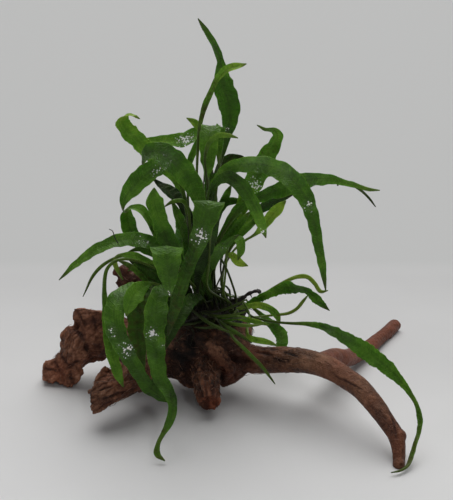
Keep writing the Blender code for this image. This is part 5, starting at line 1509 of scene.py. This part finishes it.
def make_roots(wood):
    skin = skin_tree(wood)
    rng = np.random.default_rng(11)
    lines = {name: smooth_run(placed(route), RHIZOME_ROWS) for name, route in RHIZOMES.items()}
    dark, pale = [], []
    for rows in lines.values():
        for number, root in enumerate(roots_on(rows, rng, skin)):
            (dark if number % PALE_ROOT_EVERY else pale).append(root)
    dark.append(tube(smooth_run(placed(TENDRIL), 14), 6))
    for name, count in HAIRS.items():
        dark += hairs_on(lines[name], rng, count)
    for route in BARE_STALKS:
        knots = placed(route) * (1, 1, 1, 0.5)
        pale.append(tube(spaced_run(knots, 0.003, 8), 8))
    black = stem_material("roots_dark", (0.006, 0.004, 0.003), (0.030, 0.019, 0.012), 0.6)
    olive = stem_material("roots_olive", (0.020, 0.024, 0.008), (0.065, 0.075, 0.025), 0.5)
    keep_threads("roots_dark", dark, black, "roots")
    keep_threads("roots_olive", pale, olive, "roots")


# Rhizomes.
STEM_ROW = 0.0009
STEM_SIDES = 14
STEM_KNOTTINESS = 0.16
STEM_ROUGHNESS = 0.0006
STEM_ENDS = (0.4, 0.3)
SCALES_PER_RHIZOME = 90
STEM_COLOURS = [
    ("rhizome", (0.008, 0.007, 0.004), (0.028, 0.028, 0.012)),
    ("rhizome_twig", (0.006, 0.004, 0.003), (0.025, 0.016, 0.011)),
]
# How much thinner than its solid each stem is, because part of that is its coat of roots.
SLIMMER = {"rhizome_back": 0.9, "rhizome_middle": 0.9, "rhizome_front": 0.72, "rhizome_twig": 0.74}
# Spurs of the twig: a place along it, from 0 to 1, and where the spur ends, in millimetres from there.
TWIG_SPURS = [
    (0.30, (1.5, 0.5, -5.5)), (0.42, (4.0, 1.0, 3.0)), (0.66, (2.5, 0.0, -4.0)), (0.8, (3.0, 0.0, 2.5)),
]


def spike(start, middle, tip, radii, sides):
    return tube(np.column_stack([[start, middle, tip], radii]), sides)


def spur_shape(rows, fraction, reach):
    start = rows[int(fraction * (len(rows) - 1)), :3]
    tip = start + np.array(reach) * MILLIMETRE
    middle = (start + tip) / 2 + [0.0004, 0, 0.0003]
    return spike(start, middle, tip, (0.0006, 0.0005, 0.0002), 6)


def scale_shape(rows, rng):
    """A small pointed scale that lies against a rhizome."""
    at = rng.integers(4, len(rows) - 4)
    spine, radius = rows[at, :3], rows[at, 3]
    direction = unit(rows[at + 2, :3] - rows[at - 2, :3])
    side = unit(np.cross(direction, rng.normal(size=3)))
    start = spine + side * radius * 0.95
    tip = start + direction * rng.uniform(0.0012, 0.0026) + side * rng.uniform(0.0003, 0.0012)
    middle = (start + tip) / 2 + side * 0.0002
    return spike(start, middle, tip, (0.0005, 0.0004, 0.0001), THREAD_SIDES)


def stem_shape(rows):
    """A knotty stem with a rough skin, narrower at its ends."""
    rows[:, 3] *= 1 + STEM_KNOTTINESS * mottle(np.outer(rows[:, 0], (400, 0, 0)))
    rows[(0, -1), 3] *= STEM_ENDS
    points, faces = tube(rows, STEM_SIDES)
    away = np.linalg.norm(points[:, None] - rows[None, :, :3], axis=2)
    outward = unit(points - rows[away.argmin(axis=1), :3] - 1e-6)
    return points + STEM_ROUGHNESS * layered(points * 500, 2)[:, None] * outward, faces


def make_rhizomes():
    skins = {name: stem_material(name, dark, light, 0.6) for name, dark, light in STEM_COLOURS}
    rng = np.random.default_rng(40)
    for node, route in {**RHIZOMES, "rhizome_twig": TWIG}.items():
        rows = spaced_run(placed(route), STEM_ROW, 1)
        rows[:, 3] *= SLIMMER[node]
        shapes = [stem_shape(rows)]
        if node == "rhizome_twig":
            slot = "rhizome_twig"
            shapes += [spur_shape(rows, *spur) for spur in TWIG_SPURS]
        else:
            slot = "rhizome"
            shapes += [scale_shape(rows, rng) for _ in range(SCALES_PER_RHIZOME)]
        mesh = mesh_from(node + "_skin", *joined(shapes))
        keep(object_from(node + "_skin", mesh, skins[slot]), slot, node)


# Stage, light and camera.
FLOOR_SIZE = 30.0
LENS = 72.0
SENSOR = 36.0
PICTURE_MIDDLE_ACROSS = 226.5
LONG_SIDE = 500
# The surroundings' grey from the horizon, at 0, to straight above, at 1, and how much bluer than grey it is.
SURROUNDINGS = [(0.0, 0.40), (0.18, 0.32), (0.32, 0.10), (0.62, 0.10), (0.95, 0.20)]
BLUER = 1.02
SURROUNDING_STRENGTH = 0.95


def make_stage():
    mesh = bpy.data.meshes.new("floor")
    bm = bmesh.new()
    bmesh.ops.create_grid(bm, x_segments=8, y_segments=8, size=FLOOR_SIZE / 2)
    bm.to_mesh(mesh)
    bm.free()
    floor = object_from("floor", mesh, floor_material())


def sun(name, direction, spread, strength, colour, lights_matt=True):
    """A distant light that shines along direction, spread degrees across. It can leave out matt surfaces."""
    light = bpy.data.lights.new(name, "SUN")
    light.angle = math.radians(spread)
    light.energy = strength
    light.color = colour
    made = add_object(name, light)
    made.visible_diffuse = lights_matt
    made.rotation_mode = "QUATERNION"
    made.rotation_quaternion = Vector(direction).to_track_quat("-Z", "Y")


def make_lights():
    sun("overhead", (-0.04, -0.50, -1.0), 66, 2.25, (1.0, 0.995, 0.98))
    sun("sheen", (0.0, 0.15, -1.0), 50, 0.55, (1.0, 1.0, 1.0), lights_matt=False)
    sun("front_glint", (-0.25, 0.75, -0.60), 6, 0.22, (1.0, 1.0, 1.0))


def make_surroundings():
    world = bpy.data.worlds.new("studio")
    world.use_nodes = True
    tree = world.node_tree
    place = tree.nodes.new("ShaderNodeTexCoord")
    parts = tree.nodes.new("ShaderNodeSeparateXYZ")
    ramp = tree.nodes.new("ShaderNodeValToRGB")
    tree.links.new(place.outputs["Generated"], parts.inputs[0])
    tree.links.new(parts.outputs[2], ramp.inputs[0])
    elements = ramp.color_ramp.elements
    elements.remove(elements[-1])
    for position, grey in SURROUNDINGS:
        element = elements.new(position) if position else elements[0]
        element.color = (grey, grey, grey * BLUER, 1)
    background = tree.nodes["Background"]
    tree.links.new(ramp.outputs["Color"], background.inputs["Color"])
    background.inputs["Strength"].default_value = SURROUNDING_STRENGTH
    bpy.context.scene.world = world


def make_camera():
    data = bpy.data.cameras.new("camera")
    data.lens = LENS
    data.sensor_width = SENSOR
    data.shift_x = (PICTURE_MIDDLE_ACROSS - DRAWN_MIDDLE[0]) / LONG_SIDE
    camera = add_object("camera", data)
    turn = Matrix((SIDEWAYS, UPWARD, -FORWARD)).transposed().to_4x4()
    camera.matrix_world = Matrix.Translation(EYE_IN_PART) @ turn
    bpy.context.scene.camera = camera


bpy.context.scene.view_settings.view_transform = "Standard"
make_camera()
make_lights()
make_surroundings()
make_stage()
driftwood = make_wood()
make_rhizomes()
make_roots(driftwood)
make_fibres(driftwood)
make_fronds()
bpy.context.view_layer.update()
